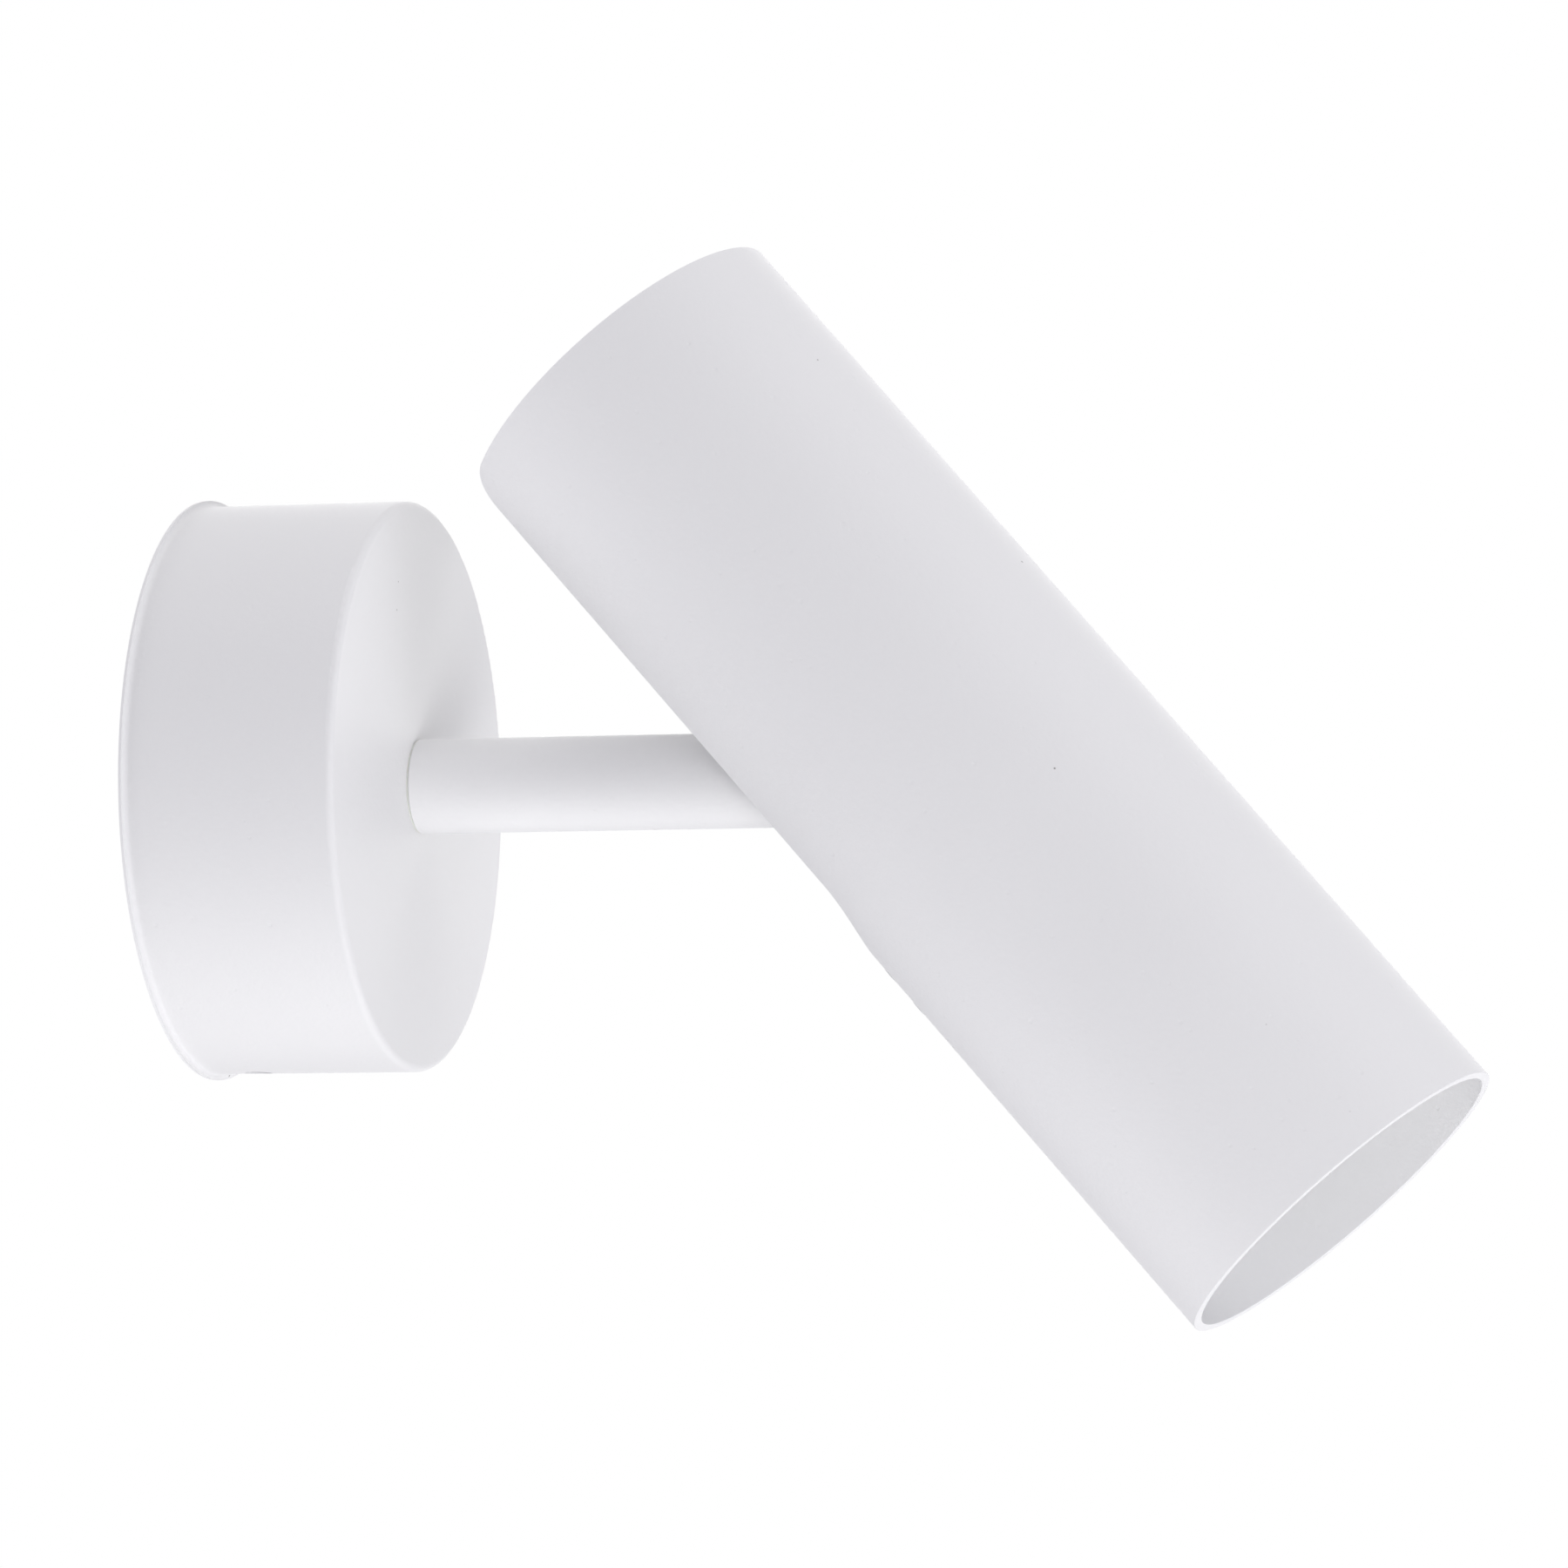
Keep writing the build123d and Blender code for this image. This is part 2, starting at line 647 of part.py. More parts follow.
with BuildPart() as stop_washer:
    with BuildSketch(from_wall(stop_washer_back)):
        Circle(stop_washer_radius)
        with Locations((0, -stop_lug_reach / 2)):
            Rectangle(stop_lug_width, stop_lug_reach)
    extrude(amount=stop_washer_thickness)
    with BuildSketch(from_wall(stop_washer_back)):
        Circle(spindle_radius + thread_gap)
        with Locations((0, spindle_key_flat - thread_gap)):
            Rectangle(4 * spindle_radius, 4 * spindle_key_flat, mode=Mode.INTERSECT)
    extrude(amount=stop_washer_thickness, mode=Mode.SUBTRACT)

with BuildPart() as swivel_spring_washer:
    add(
        disc_spring(
            swivel_profile,
            swivel_axis,
            swivel_spring_back,
            spindle_radius + thread_gap,
            swivel_spring_radius,
            swivel_spring_thickness,
            swivel_spring_height,
        )
    )

with BuildPart() as swivel_washer:
    with BuildSketch(from_wall(swivel_washer_back)):
        Circle(swivel_washer_radius)
        Circle(spindle_radius + thread_gap, mode=Mode.SUBTRACT)
    extrude(amount=swivel_washer_thickness)

with BuildPart() as swivel_nut:
    add(hex_nut(from_wall(swivel_nut_back), swivel_nut_size, spindle_radius + thread_gap, swivel_nut_height))

with BuildPart() as swivel_lock_nut:
    add(
        hex_nut(from_wall(swivel_lock_nut_back), swivel_nut_size, spindle_radius + thread_gap, swivel_lock_nut_height)
    )

with BuildPart() as arm_knuckle:
    with BuildSketch(from_wall(spigot_back)):
        Circle(plug_radius)
    extrude(amount=knuckle_spigot_length)
    with BuildSketch(from_wall(arm_front)):
        Circle(arm_radius)
    extrude(amount=knuckle_collar_thickness)
    tongue_length = pivot_distance - arm_front
    with BuildSketch(Plane(origin=pivot, x_dir=-out, z_dir=across)):
        Circle(tongue_radius)
        with Locations((tongue_length / 2, 0)):
            Rectangle(tongue_length, 2 * tongue_radius)
    extrude(amount=tongue_side, both=True)
    with BuildSketch(Plane(origin=pivot, z_dir=across)):
        Circle(pivot_bush_radius + running_gap)
    extrude(amount=tongue_side, both=True, mode=Mode.SUBTRACT)
    groove_half_width = lead_offset + lead_radius + lead_gap
    with BuildSketch(from_wall(spigot_back)):
        with Locations((0, (arm_radius - lead_groove_floor) / 2)):
            Rectangle(2 * groove_half_width, arm_radius + lead_groove_floor)
    extrude(amount=lead_groove_length, mode=Mode.SUBTRACT)
    with BuildSketch(Plane(origin=out * set_screw_distance, z_dir=-up)):
        Circle(set_screw_radius + thread_gap)
    extrude(amount=arm_radius, mode=Mode.SUBTRACT)

with BuildPart() as knuckle_set_screw:
    with BuildSketch(Plane(origin=out * set_screw_distance - up * (arm_radius - grub_recess), z_dir=up)):
        Circle(set_screw_radius)
    extrude(amount=set_screw_length)
    with BuildSketch(Plane(origin=out * set_screw_distance - up * (arm_radius - grub_recess), z_dir=up)):
        RegularPolygon(set_screw_radius / 2, 6, major_radius=False)
    extrude(amount=set_screw_length / 2, mode=Mode.SUBTRACT)

with BuildPart() as pivot_bush:
    with BuildSketch(sideways(1, -tongue_side)):
        Circle(pivot_bush_radius)
        Circle(pivot_screw_radius + running_gap, mode=Mode.SUBTRACT)
    extrude(amount=tongue_width)

# The arm's leads run down its middle and turn up through the window near the pivot.
lead_exit_height = arm_radius + lead_radius
arm_leads = []
for pole in (1, -1):
    arm_route = [
        Vector(pole * lead_offset, -lead_meeting - face_gap, 0),
        Vector(pole * lead_offset, -lead_rise, 0),
        Vector(pole * lead_offset, -lead_rise, lead_exit_height),
    ]
    arm_leads.append(lead(arm_route, radii=[lead_rise_radius]))

with BuildPart() as arm_lead_live:
    add(arm_leads[0])

with BuildPart() as arm_lead_neutral:
    add(arm_leads[1])

# ==== Head: tilts on the end of the arm ====
with BuildPart() as lamp_tube:
    with BuildSketch(across_tube(-rear_length)):
        Circle(tube_radius)
        Circle(tube_bore, mode=Mode.SUBTRACT)
    extrude(amount=rear_length + front_length)
    # The slot for the arm runs out through the rear end, with rounded corners there.
    with BuildSketch(Plane(origin=pivot, x_dir=forward, z_dir=-above)) as arm_slot:
        Circle(slot_half_width)
        with Locations((-rear_length / 2, 0)):
            Rectangle(rear_length, 2 * slot_half_width)
        with Locations((-rear_length - slot_corner_radius, 0)):
            Rectangle(2 * slot_corner_radius, 4 * tube_radius)
        rear_corners = arm_slot.vertices().group_by(Axis.X)[1].sort_by(lambda corner: abs(corner.Y))[:2]
        fillet(rear_corners, slot_corner_radius)
    extrude(amount=2 * tube_radius, mode=Mode.SUBTRACT)
    mouth_rims = lamp_tube.edges().filter_by(GeomType.CIRCLE).sort_by(tube_axis)[-2:]
    fillet(mouth_rims, rim_edge_radius)
    screw_faces = [
        Plane(origin=pivot + forward * along - above * tube_radius, z_dir=-above)
        for along in (cover_along + tube_screw_spacing / 2, cover_along + tube_screw_spacing * 3 / 2)
    ]
    for screw_face in screw_faces:
        with Locations(screw_face):
            CounterSinkHole(
                tube_screw_radius + screw_gap,
                tube_screw_head_radius + running_gap,
                depth=tube_radius / 2,
                counter_sink_angle=90,
            )

with BuildPart() as tube_screws:
    for screw_face in screw_faces:
        with BuildSketch(screw_face):
            Circle(tube_screw_radius)
        extrude(amount=-tube_screw_length)
        with BuildSketch(screw_face):
            Circle(tube_screw_head_radius)
        head_depth = tube_screw_head_radius - tube_screw_radius
        extrude(amount=-head_depth, taper=45)
        with BuildSketch(screw_face):
            Rectangle(tube_screw_head_radius, tube_screw_radius / 2)
            Rectangle(tube_screw_radius / 2, tube_screw_head_radius)
        extrude(amount=-head_depth, mode=Mode.SUBTRACT)

with BuildPart() as bulkhead:
    with BuildSketch(across_tube(bulkhead_along)):
        Circle(bulkhead_radius)
        with Locations((0, lead_height)):
            SlotOverall(4 * lead_offset + 2 * lead_radius, 4 * lead_radius, mode=Mode.SUBTRACT)
        with Locations((vent_across, 0), (-vent_across, 0)):
            SlotOverall(vent_length, vent_width, rotation=90, mode=Mode.SUBTRACT)
        with Locations((holder_screw_offset, 0), (-holder_screw_offset, 0)):
            Circle(holder_screw_radius + thread_gap, mode=Mode.SUBTRACT)
    extrude(amount=sheet_thickness)
    # A foot folded forward lies against the tube, where two screws hold it.
    with BuildSketch(across_tube(bulkhead_along)):
        Circle(tube_bore)
        Circle(tube_bore - sheet_thickness, mode=Mode.SUBTRACT)
        with Locations((0, -tube_bore)):
            Rectangle(foot_width, 2 * foot_width, mode=Mode.INTERSECT)
    extrude(amount=sheet_thickness + foot_length)
    for screw_face in screw_faces:
        with BuildSketch(screw_face):
            Circle(tube_screw_radius + thread_gap)
        extrude(amount=-tube_radius / 2, mode=Mode.SUBTRACT)

with BuildPart() as pivot_clevis:
    with BuildSketch(tube_profile):
        Circle(clevis_radius)
        with Locations((bulkhead_along / 2, 0)):
            Rectangle(bulkhead_along, 2 * clevis_radius)
    extrude(amount=cheek_outer_side, both=True)
    with BuildSketch(tube_profile):
        with Locations(((web_along - 2 * clevis_radius) / 2, 0)):
            Rectangle(web_along + 2 * clevis_radius, 3 * clevis_radius)
    extrude(amount=cheek_inner_side, both=True, mode=Mode.SUBTRACT)
    with BuildSketch(tube_profile):
        Circle(pivot_screw_radius + screw_gap)
    extrude(amount=cheek_outer_side, both=True, mode=Mode.SUBTRACT)
    outer_folds = pivot_clevis.edges().filter_by(Axis(pivot, above)).sort_by(tube_axis)[-2:]
    fillet(outer_folds, sheet_thickness)

with BuildPart() as friction_discs:
    for side in (1, -1):
        with BuildSketch(sideways(side, disc_inner_side)):
            Circle(friction_disc_radius)
            Circle(pivot_screw_radius + screw_gap, mode=Mode.SUBTRACT)
        extrude(amount=friction_disc_thickness)

with BuildPart() as pivot_washers:
    for side in (1, -1):
        with BuildSketch(sideways(side, cheek_outer_side)):
            Circle(pivot_washer_radius)
            Circle(pivot_screw_radius + screw_gap, mode=Mode.SUBTRACT)
        extrude(amount=pivot_washer_thickness)

pivot_line = Axis(pivot, across)
spring_side = cheek_outer_side + pivot_washer_thickness
with BuildPart() as pivot_screw:
    add(pan_screw(sideways(1, spring_side), pivot_screw_radius, pivot_screw_length, pivot_head_radius, pivot_head_height))

with BuildPart() as pivot_spring_washer:
    spring_profile = Plane(origin=pivot, x_dir=-across, z_dir=forward)
    add(
        disc_spring(
            spring_profile,
            pivot_line,
            spring_side,
            pivot_screw_radius + screw_gap,
            pivot_washer_radius,
            pivot_spring_thickness,
            pivot_spring_height,
        )
    )

with BuildPart() as pivot_nut:
    add(
        hex_nut(
            sideways(-1, spring_side + pivot_spring_height),
            pivot_nut_size,
            pivot_screw_radius + thread_gap,
            pivot_nut_height,
        )
    )

# ---- Lampholder: a ceramic body on a cover, with two contacts behind twist-lock slots ----
pin_paths = [CenterArc((0, 0), pin_offset, start, lamp_twist) for start in (90, 270)]
with BuildPart() as lampholder_cover:
    with BuildSketch(across_tube(cover_along)):
        Circle(holder_radius)
        with Locations((lead_offset, lead_height), (-lead_offset, lead_height)):
            Circle(lead_radius + lead_gap, mode=Mode.SUBTRACT)
        with Locations((holder_screw_offset, 0), (-holder_screw_offset, 0)):
            Circle(holder_screw_radius + screw_gap, mode=Mode.SUBTRACT)
    extrude(amount=holder_cover_thickness)

with BuildPart() as lampholder_body:
    with BuildSketch(across_tube(holder_along)):
        Circle(holder_radius)
        with Locations((holder_screw_offset, 0), (-holder_screw_offset, 0)):
            Circle(holder_screw_radius + screw_gap, mode=Mode.SUBTRACT)
    extrude(amount=holder_body_height)
    front_rim = lampholder_body.edges().filter_by(GeomType.CIRCLE).filter_by(
        lambda edge: abs(edge.radius - holder_radius) < 0.001
    ).sort_by(tube_axis)[-1]
    chamfer(front_rim, holder_edge)
    with BuildSketch(across_tube(holder_front - holder_counterbore_depth)):
        with Locations((holder_screw_offset, 0), (-holder_screw_offset, 0)):
            Circle(holder_head_radius + screw_gap)
    extrude(amount=holder_counterbore_depth, mode=Mode.SUBTRACT)
    # Kidney pockets behind the face leave room for the pin heads to twist.
    with BuildSketch(across_tube(holder_along)):
        for pin_path in pin_paths:
            SlotArc(pin_path, 2 * (pin_head_radius + screw_gap + loose_gap))
        with Locations(((contact_detour - lead_offset) / 2, lead_height)):
            Rectangle(contact_detour + lead_offset + 2 * contact_foot_width, 2 * contact_foot_width)
        with Locations((contact_detour, (lead_height - pin_offset) / 2)):
            Rectangle(contact_foot_width + 2 * screw_gap, lead_height + pin_offset)
    extrude(amount=lead_chamber_height, mode=Mode.SUBTRACT)
    with BuildSketch(across_tube(holder_along)):
        for pin_path in pin_paths:
            SlotArc(pin_path, 2 * (pin_head_radius + screw_gap + loose_gap))
    extrude(amount=holder_floor - holder_along, mode=Mode.SUBTRACT)
    # Keyholes in the face: a round entry for the head, then a narrow arc for the pin.
    with BuildSketch(across_tube(holder_floor)):
        for pin_path in pin_paths:
            SlotArc(pin_path, 2 * (pin_radius + screw_gap))
            with Locations(pin_path @ 1):
                Circle(pin_head_radius + screw_gap)
    extrude(amount=holder_face_thickness, mode=Mode.SUBTRACT)

with BuildPart() as lampholder_contacts:
    spring_top = pin_tip_along - contact_gap
    for side in (1, -1):
        strip_plane = Plane(
            origin=pivot + above * (side * pin_offset), x_dir=across * side, z_dir=above * -side
        )
        with BuildSketch(strip_plane):
            with BuildLine():
                Polyline(
                    (-contact_width, holder_along + contact_thickness / 2),
                    (contact_width * 0.5, holder_along + contact_thickness / 2),
                    (contact_width * 0.65, (holder_along + spring_top) / 2),
                    (-contact_width / 2, spring_top - contact_thickness),
                )
                offset(amount=contact_thickness / 2, side=Side.BOTH)
            make_face()
        extrude(amount=contact_width / 2, both=True)
    # Each contact has a flat foot on the cover that reaches the end of its lead.
    foot_end = lead_height + contact_foot_width / 2
    with BuildSketch(across_tube(holder_along)):
        with Locations((-lead_offset, (pin_offset + foot_end) / 2)):
            Rectangle(contact_foot_width, foot_end - pin_offset)
        with Locations((contact_detour, (foot_end - pin_offset) / 2)):
            Rectangle(contact_foot_width, foot_end + pin_offset - contact_width / 2)
        with Locations(((contact_detour + lead_offset) / 2, lead_height)):
            Rectangle(contact_detour - lead_offset + contact_foot_width, contact_foot_width)
        with Locations(((contact_detour + lead_offset) / 2, contact_foot_width / 4 - pin_offset)):
            Rectangle(contact_detour - lead_offset + contact_foot_width, contact_foot_width / 2)
    extrude(amount=contact_thickness)

with BuildPart() as lampholder_screws:
    for side in (1, -1):
        seat = across_tube(holder_front - holder_counterbore_depth)
        seat.origin += across * (side * holder_screw_offset)
        screw_length = holder_front - holder_counterbore_depth - bulkhead_along + holder_screw_tail
        add(pan_screw(seat, holder_screw_radius, screw_length, holder_head_radius, holder_head_height))

# The head's leads loop over the pivot with enough slack for the whole tilt.
head_leads = []
for pole in (1, -1):
    lead_line = pivot + above * lead_height + across * (pole * lead_offset)
    head_route = [
        Vector(pole * lead_offset, -lead_rise, lead_exit_height + face_gap),
        Vector(pole * lead_offset, -lead_rise, lead_exit_height + head_lead_lift),
        lead_line - forward * head_lead_run,
        lead_line + forward * holder_along,
    ]
    head_leads.append(lead(head_route, radii=[head_lead_first_bend, head_lead_second_bend]))

with BuildPart() as head_lead_live:
    add(head_leads[0])

with BuildPart() as head_lead_neutral:
    add(head_leads[1])

# ==== Lamp: twists out of its holder ====
with BuildPart() as lamp_base:
    with BuildSketch(tube_profile):
        with BuildLine():
            Polyline(
                (lamp_along, 0),
                (lamp_along, lamp_base_radius),
                (lamp_along + lamp_neck_start, lamp_base_radius + lamp_base_draft),
                (lamp_along + lamp_base_height, lamp_base_radius + lamp_base_draft),
                (lamp_along + lamp_base_height, 0),
                close=True,
            )
        make_face()
    revolve(axis=tube_axis)
    with BuildSketch(across_tube(lamp_along)):
        with Locations((0, pin_offset), (0, -pin_offset)):
            Circle(pin_radius + running_gap)
    extrude(amount=pin_root, mode=Mode.SUBTRACT)

with BuildPart() as lamp_pins:
    with BuildSketch(across_tube(pin_tip_along)):
        with Locations((0, pin_offset), (0, -pin_offset)):
            Circle(pin_head_radius)
    extrude(amount=pin_head_height)
    fillet(lamp_pins.edges().filter_by(GeomType.CIRCLE), pin_head_height / 6)
    with BuildSketch(across_tube(pin_tip_along + pin_head_height)):
        with Locations((0, pin_offset), (0, -pin_offset)):
            Circle(pin_radius)
    extrude(amount=pin_length - pin_head_height + pin_root)

neck_along = lamp_along + lamp_neck_start
cup_along = lamp_along + lamp_cup_start
rim_along = lamp_along + lamp_length - lamp_rim_height
lamp_front = lamp_along + lamp_length
lens_along = lamp_front - lens_recess - lens_thickness
board_place = lamp_along + board_along
cup_slope = (lamp_rim_radius - lamp_neck_radius) / (rim_along - cup_along)
board_radius = lamp_neck_radius + cup_slope * (board_place - cup_along) - lamp_wall - running_gap

with BuildPart() as lamp_shell:
    with BuildSketch(tube_profile):
        with BuildLine():
            Polyline(
                (neck_along, lamp_base_radius + lamp_base_draft + running_gap),
                (neck_along, lamp_neck_radius),
                (cup_along, lamp_neck_radius),
                (rim_along, lamp_rim_radius),
                (lamp_front, lamp_rim_radius),
                (lamp_front, lamp_rim_radius - lamp_wall),
                (lens_along, lamp_rim_radius - lamp_wall),
                (lens_along, lamp_rim_radius - 2 * lamp_wall),
                (rim_along, lamp_rim_radius - 2 * lamp_wall),
                (board_place, board_radius + running_gap),
                (board_place, board_radius - board_ledge),
                (lamp_along + lamp_base_height, lamp_base_radius + lamp_base_draft + running_gap),
                close=True,
            )
        make_face()
    revolve(axis=tube_axis)

with BuildPart() as led_board:
    with BuildSketch(across_tube(board_place)):
        Circle(board_radius)
    extrude(amount=board_thickness)

with BuildPart() as led_emitter:
    with BuildSketch(across_tube(board_place + board_thickness)):
        Circle(emitter_radius)
    extrude(amount=emitter_thickness)

with BuildPart() as lamp_lens:
    with BuildSketch(across_tube(lens_along)):
        Circle(lamp_rim_radius - lamp_wall - running_gap)
    extrude(amount=lens_thickness)
    fillet(lamp_lens.edges().filter_by(GeomType.CIRCLE).sort_by(tube_axis)[-1], lens_thickness / 4)

# ==== Files ====
nodes = {
    "canopy": canopy,
    "face_stiffener": face_stiffener,
    "stop_pin": stop_pin,
    "swivel_bush": swivel_bush,
    "seat_washer": seat_washer,
    "wall_plate": wall_plate,
    "canopy_grub_screws": canopy_grub_screws,
    "cable_bush": cable_bush,
    "terminal_block": terminal_block,
    "terminal_sleeves": terminal_sleeves,
    "terminal_clamp_screws": terminal_clamp_screws,
    "terminal_fixing_screws": terminal_fixing_screws,
    "earth_lug": earth_lug,
    "earth_washer": earth_washer,
    "earth_screw": earth_screw,
    "earth_lead": earth_lead,
    "supply_lead_live": supply_lead_live,
    "supply_lead_neutral": supply_lead_neutral,
    "arm_tube": arm_tube,
    "arm_socket": arm_socket,
    "swivel_spindle": swivel_spindle,
    "stop_washer": stop_washer,
    "swivel_spring_washer": swivel_spring_washer,
    "swivel_washer": swivel_washer,
    "swivel_nut": swivel_nut,
    "swivel_lock_nut": swivel_lock_nut,
    "arm_knuckle": arm_knuckle,
    "knuckle_set_screw": knuckle_set_screw,
    "pivot_bush": pivot_bush,
    "arm_lead_live": arm_lead_live,
    "arm_lead_neutral": arm_lead_neutral,
    "lamp_tube": lamp_tube,
    "tube_screws": tube_screws,
    "bulkhead": bulkhead,
    "pivot_clevis": pivot_clevis,
    "friction_discs": friction_discs,
    "pivot_washers": pivot_washers,
    "pivot_screw": pivot_screw,
    "pivot_spring_washer": pivot_spring_washer,
    "pivot_nut": pivot_nut,
    "lampholder_cover": lampholder_cover,
    "lampholder_body": lampholder_body,
    "lampholder_contacts": lampholder_contacts,
    "lampholder_screws": lampholder_screws,
    "head_lead_live": head_lead_live,
    "head_lead_neutral": head_lead_neutral,
    "lamp_base": lamp_base,
    "lamp_pins": lamp_pins,
    "lamp_shell": lamp_shell,
    "led_board": led_board,
    "led_emitter": led_emitter,
    "lamp_lens": lamp_lens,
}
for name, piece in nodes.items():
    piece.part.label = name
    export_step(piece.part, f"parts/{name}.step")
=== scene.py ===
import bpy
import bmesh
import json
import math
from mathutils import Matrix, Vector


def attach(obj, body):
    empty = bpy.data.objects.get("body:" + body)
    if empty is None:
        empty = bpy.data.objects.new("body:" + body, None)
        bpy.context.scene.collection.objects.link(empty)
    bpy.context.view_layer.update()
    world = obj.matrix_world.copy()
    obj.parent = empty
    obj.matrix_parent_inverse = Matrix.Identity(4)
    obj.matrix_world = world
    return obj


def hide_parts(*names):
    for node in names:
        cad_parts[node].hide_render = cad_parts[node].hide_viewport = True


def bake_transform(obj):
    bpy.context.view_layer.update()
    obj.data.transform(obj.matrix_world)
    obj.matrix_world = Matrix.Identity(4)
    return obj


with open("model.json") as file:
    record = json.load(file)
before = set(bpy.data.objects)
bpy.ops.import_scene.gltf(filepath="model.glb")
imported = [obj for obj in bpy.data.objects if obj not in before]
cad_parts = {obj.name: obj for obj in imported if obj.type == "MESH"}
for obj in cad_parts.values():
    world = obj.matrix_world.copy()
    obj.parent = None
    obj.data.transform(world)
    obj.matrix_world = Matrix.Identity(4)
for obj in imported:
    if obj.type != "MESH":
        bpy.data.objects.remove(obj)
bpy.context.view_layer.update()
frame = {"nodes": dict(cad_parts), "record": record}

MM = 0.001

# ---- Sizes of the light, in mm ----
PIVOT_DISTANCE = 125.3  # from the wall to the pivot in the arm's end
TILT = 48.5  # degrees the lamp tube points down from straight out
FORWARD = Vector((0, -math.cos(math.radians(TILT)), -math.sin(math.radians(TILT))))
ABOVE = Vector((0, -math.sin(math.radians(TILT)), math.cos(math.radians(TILT))))
PIVOT = Vector((0, -PIVOT_DISTANCE, 0))

# ---- Reflector lamp. Its places are along the lamp tube, from the pivot ----
LAMP_GAP = 0.05  # between the lamp's own pieces
LAMP_BACK = 26.0
LAMP_FRONT = LAMP_BACK + 47.0
LAMP_WALL = 1.2
BASE_RADIUS = 11.5
BASE_FRONT = LAMP_BACK + 9.0
NECK_RADIUS = 13.0
NECK_BACK = LAMP_BACK + 7.0
CUP_BACK = LAMP_BACK + 11.0
CUP_FRONT = LAMP_FRONT - 6.0
RIM_RADIUS = 25.0
SHELL_EDGE = 0.4  # length of the bevel at the shell's ends
RIM_EDGE = 0.3  # width of that bevel at the rim
FLUTE_COUNT = 30
FLUTE_DEPTH = 0.7
FLUTE_FADE = 0.2  # share of the cup in which a flute grows, and in which it ends

LENS_FRONT = LAMP_FRONT - 1.5
LENS_BACK = LENS_FRONT - 2.0
LENS_RADIUS = RIM_RADIUS - LAMP_WALL - LAMP_GAP
LENS_EDGE = 0.5  # radius of the lens's outer edge
LENSLET_FIELD = 21.3  # radius that the lenslets fill
LENSLET_PITCH = 3.0
LENSLET_RISE = 0.4
LENSLET_FLOOR = 0.45  # how far the lenslets' foot is below the lens's rim
LENS_RIM_START = LENSLET_FIELD + 0.4
LENS_RIM_SLOPE = 0.25  # width of the slope inside the rim
LENS_RIM_STEP = 0.12  # height of that slope

BOARD_BACK = LAMP_BACK + 24.0
BOARD_FRONT = BOARD_BACK + 1.5
BOARD_LEDGE = 2.0
PHOSPHOR_RADIUS = 4.3
SCREW_OFFSET = 12.0  # of the board's screws from the lamp's axis
SOLDER_OFFSET = 9.5
SOLDER_SPACING = 5.2

# ---- Outlines of the pieces on the light board: height over it, and radius ----
CHIP_OUTLINE = [
    (0, 0), (0, 5.0), (0.68, 5.0), (0.8, 4.88), (0.8, 4.5),
    (0.62, PHOSPHOR_RADIUS), (0.7, 3.0), (0.75, 1.5), (0.77, 0),
]
SCREW_OUTLINE = [(0, 0), (0, 1.6), (0.5, 1.6), (0.85, 1.3), (1.0, 0.8), (0.55, 0.7), (0.55, 0)]
SOLDER_OUTLINE = [(0, 0), (0, 1.5), (0.08, 1.5), (0.1, 1.25), (0.4, 0.85), (0.6, 0.4), (0.65, 0)]

# ---- Leads ----
LEAD_RADIUS = 1.0
LEAD_OFFSET = 2.0  # of the live and the neutral lead from the middle
LEAD_STRAIGHT = 4.0  # before a lead turns
TERMINAL_PITCH = 12.0
TERMINAL_FACE = 14.0
LEAD_INSERTION = 5.0  # into a terminal
WIRE_DISTANCE = 7.5  # from the wall to the leads in the terminals
LEAD_MIDDLE = 60.0  # distance of a point about halfway along their straight run through the arm
LEAD_RISE = 107.3  # distance at which the leads turn up out of the arm
LEAD_RISE_BEND = 6.0
LEAD_EXIT = 8.6  # height at which they leave the arm
HEAD_LEAD_LIFT = 9.0  # straight up out of the arm
HEAD_LEAD_RUN = 18.0  # behind the pivot, where the head's leads turn down to the holder
HOLDER_BACK = 14.0
EARTH_LUG_ACROSS = -11.0  # where the lug's barrel starts
EARTH_LUG_DISTANCE = 3.2
EARTH_LUG_UP = -18.0
EARTH_LUG_LENGTH = 6.0

# ---- Steps in a full turn ----
LAMP_STEPS = 240
CHIP_STEPS = 64
SCREW_STEPS = 32
SOLDER_STEPS = 24


# ---- Camera, lights and floor ----
def make_camera():
    """A long lens a little below the arm, seen from the left of the light."""
    azimuth = math.radians(-75.153)
    elevation = math.radians(-5.767)
    roll = math.radians(0.442)
    target = Vector((0, -95.01, -0.678)) * MM
    distance = 1237.965 * MM
    back = Vector(
        (
            math.sin(azimuth) * math.cos(elevation),
            -math.cos(azimuth) * math.cos(elevation),
            math.sin(elevation),
        )
    )
    level_right = Vector((math.cos(azimuth), math.sin(azimuth), 0))
    level_up = back.cross(level_right)
    right = level_right * math.cos(roll) + level_up * math.sin(roll)
    up = level_up * math.cos(roll) - level_right * math.sin(roll)
    lens = bpy.data.cameras.new("camera")
    lens.lens = 179.274
    lens.sensor_width = 36.0
    lens.sensor_fit = "HORIZONTAL"
    lens.clip_start = 0.05
    lens.clip_end = 20
    camera = bpy.data.objects.new("camera", lens)
    bpy.context.scene.collection.objects.link(camera)
    turn = Matrix((right, up, back)).transposed()
    camera.matrix_world = Matrix.Translation(target + back * distance) @ turn.to_4x4()
    bpy.context.scene.camera = camera


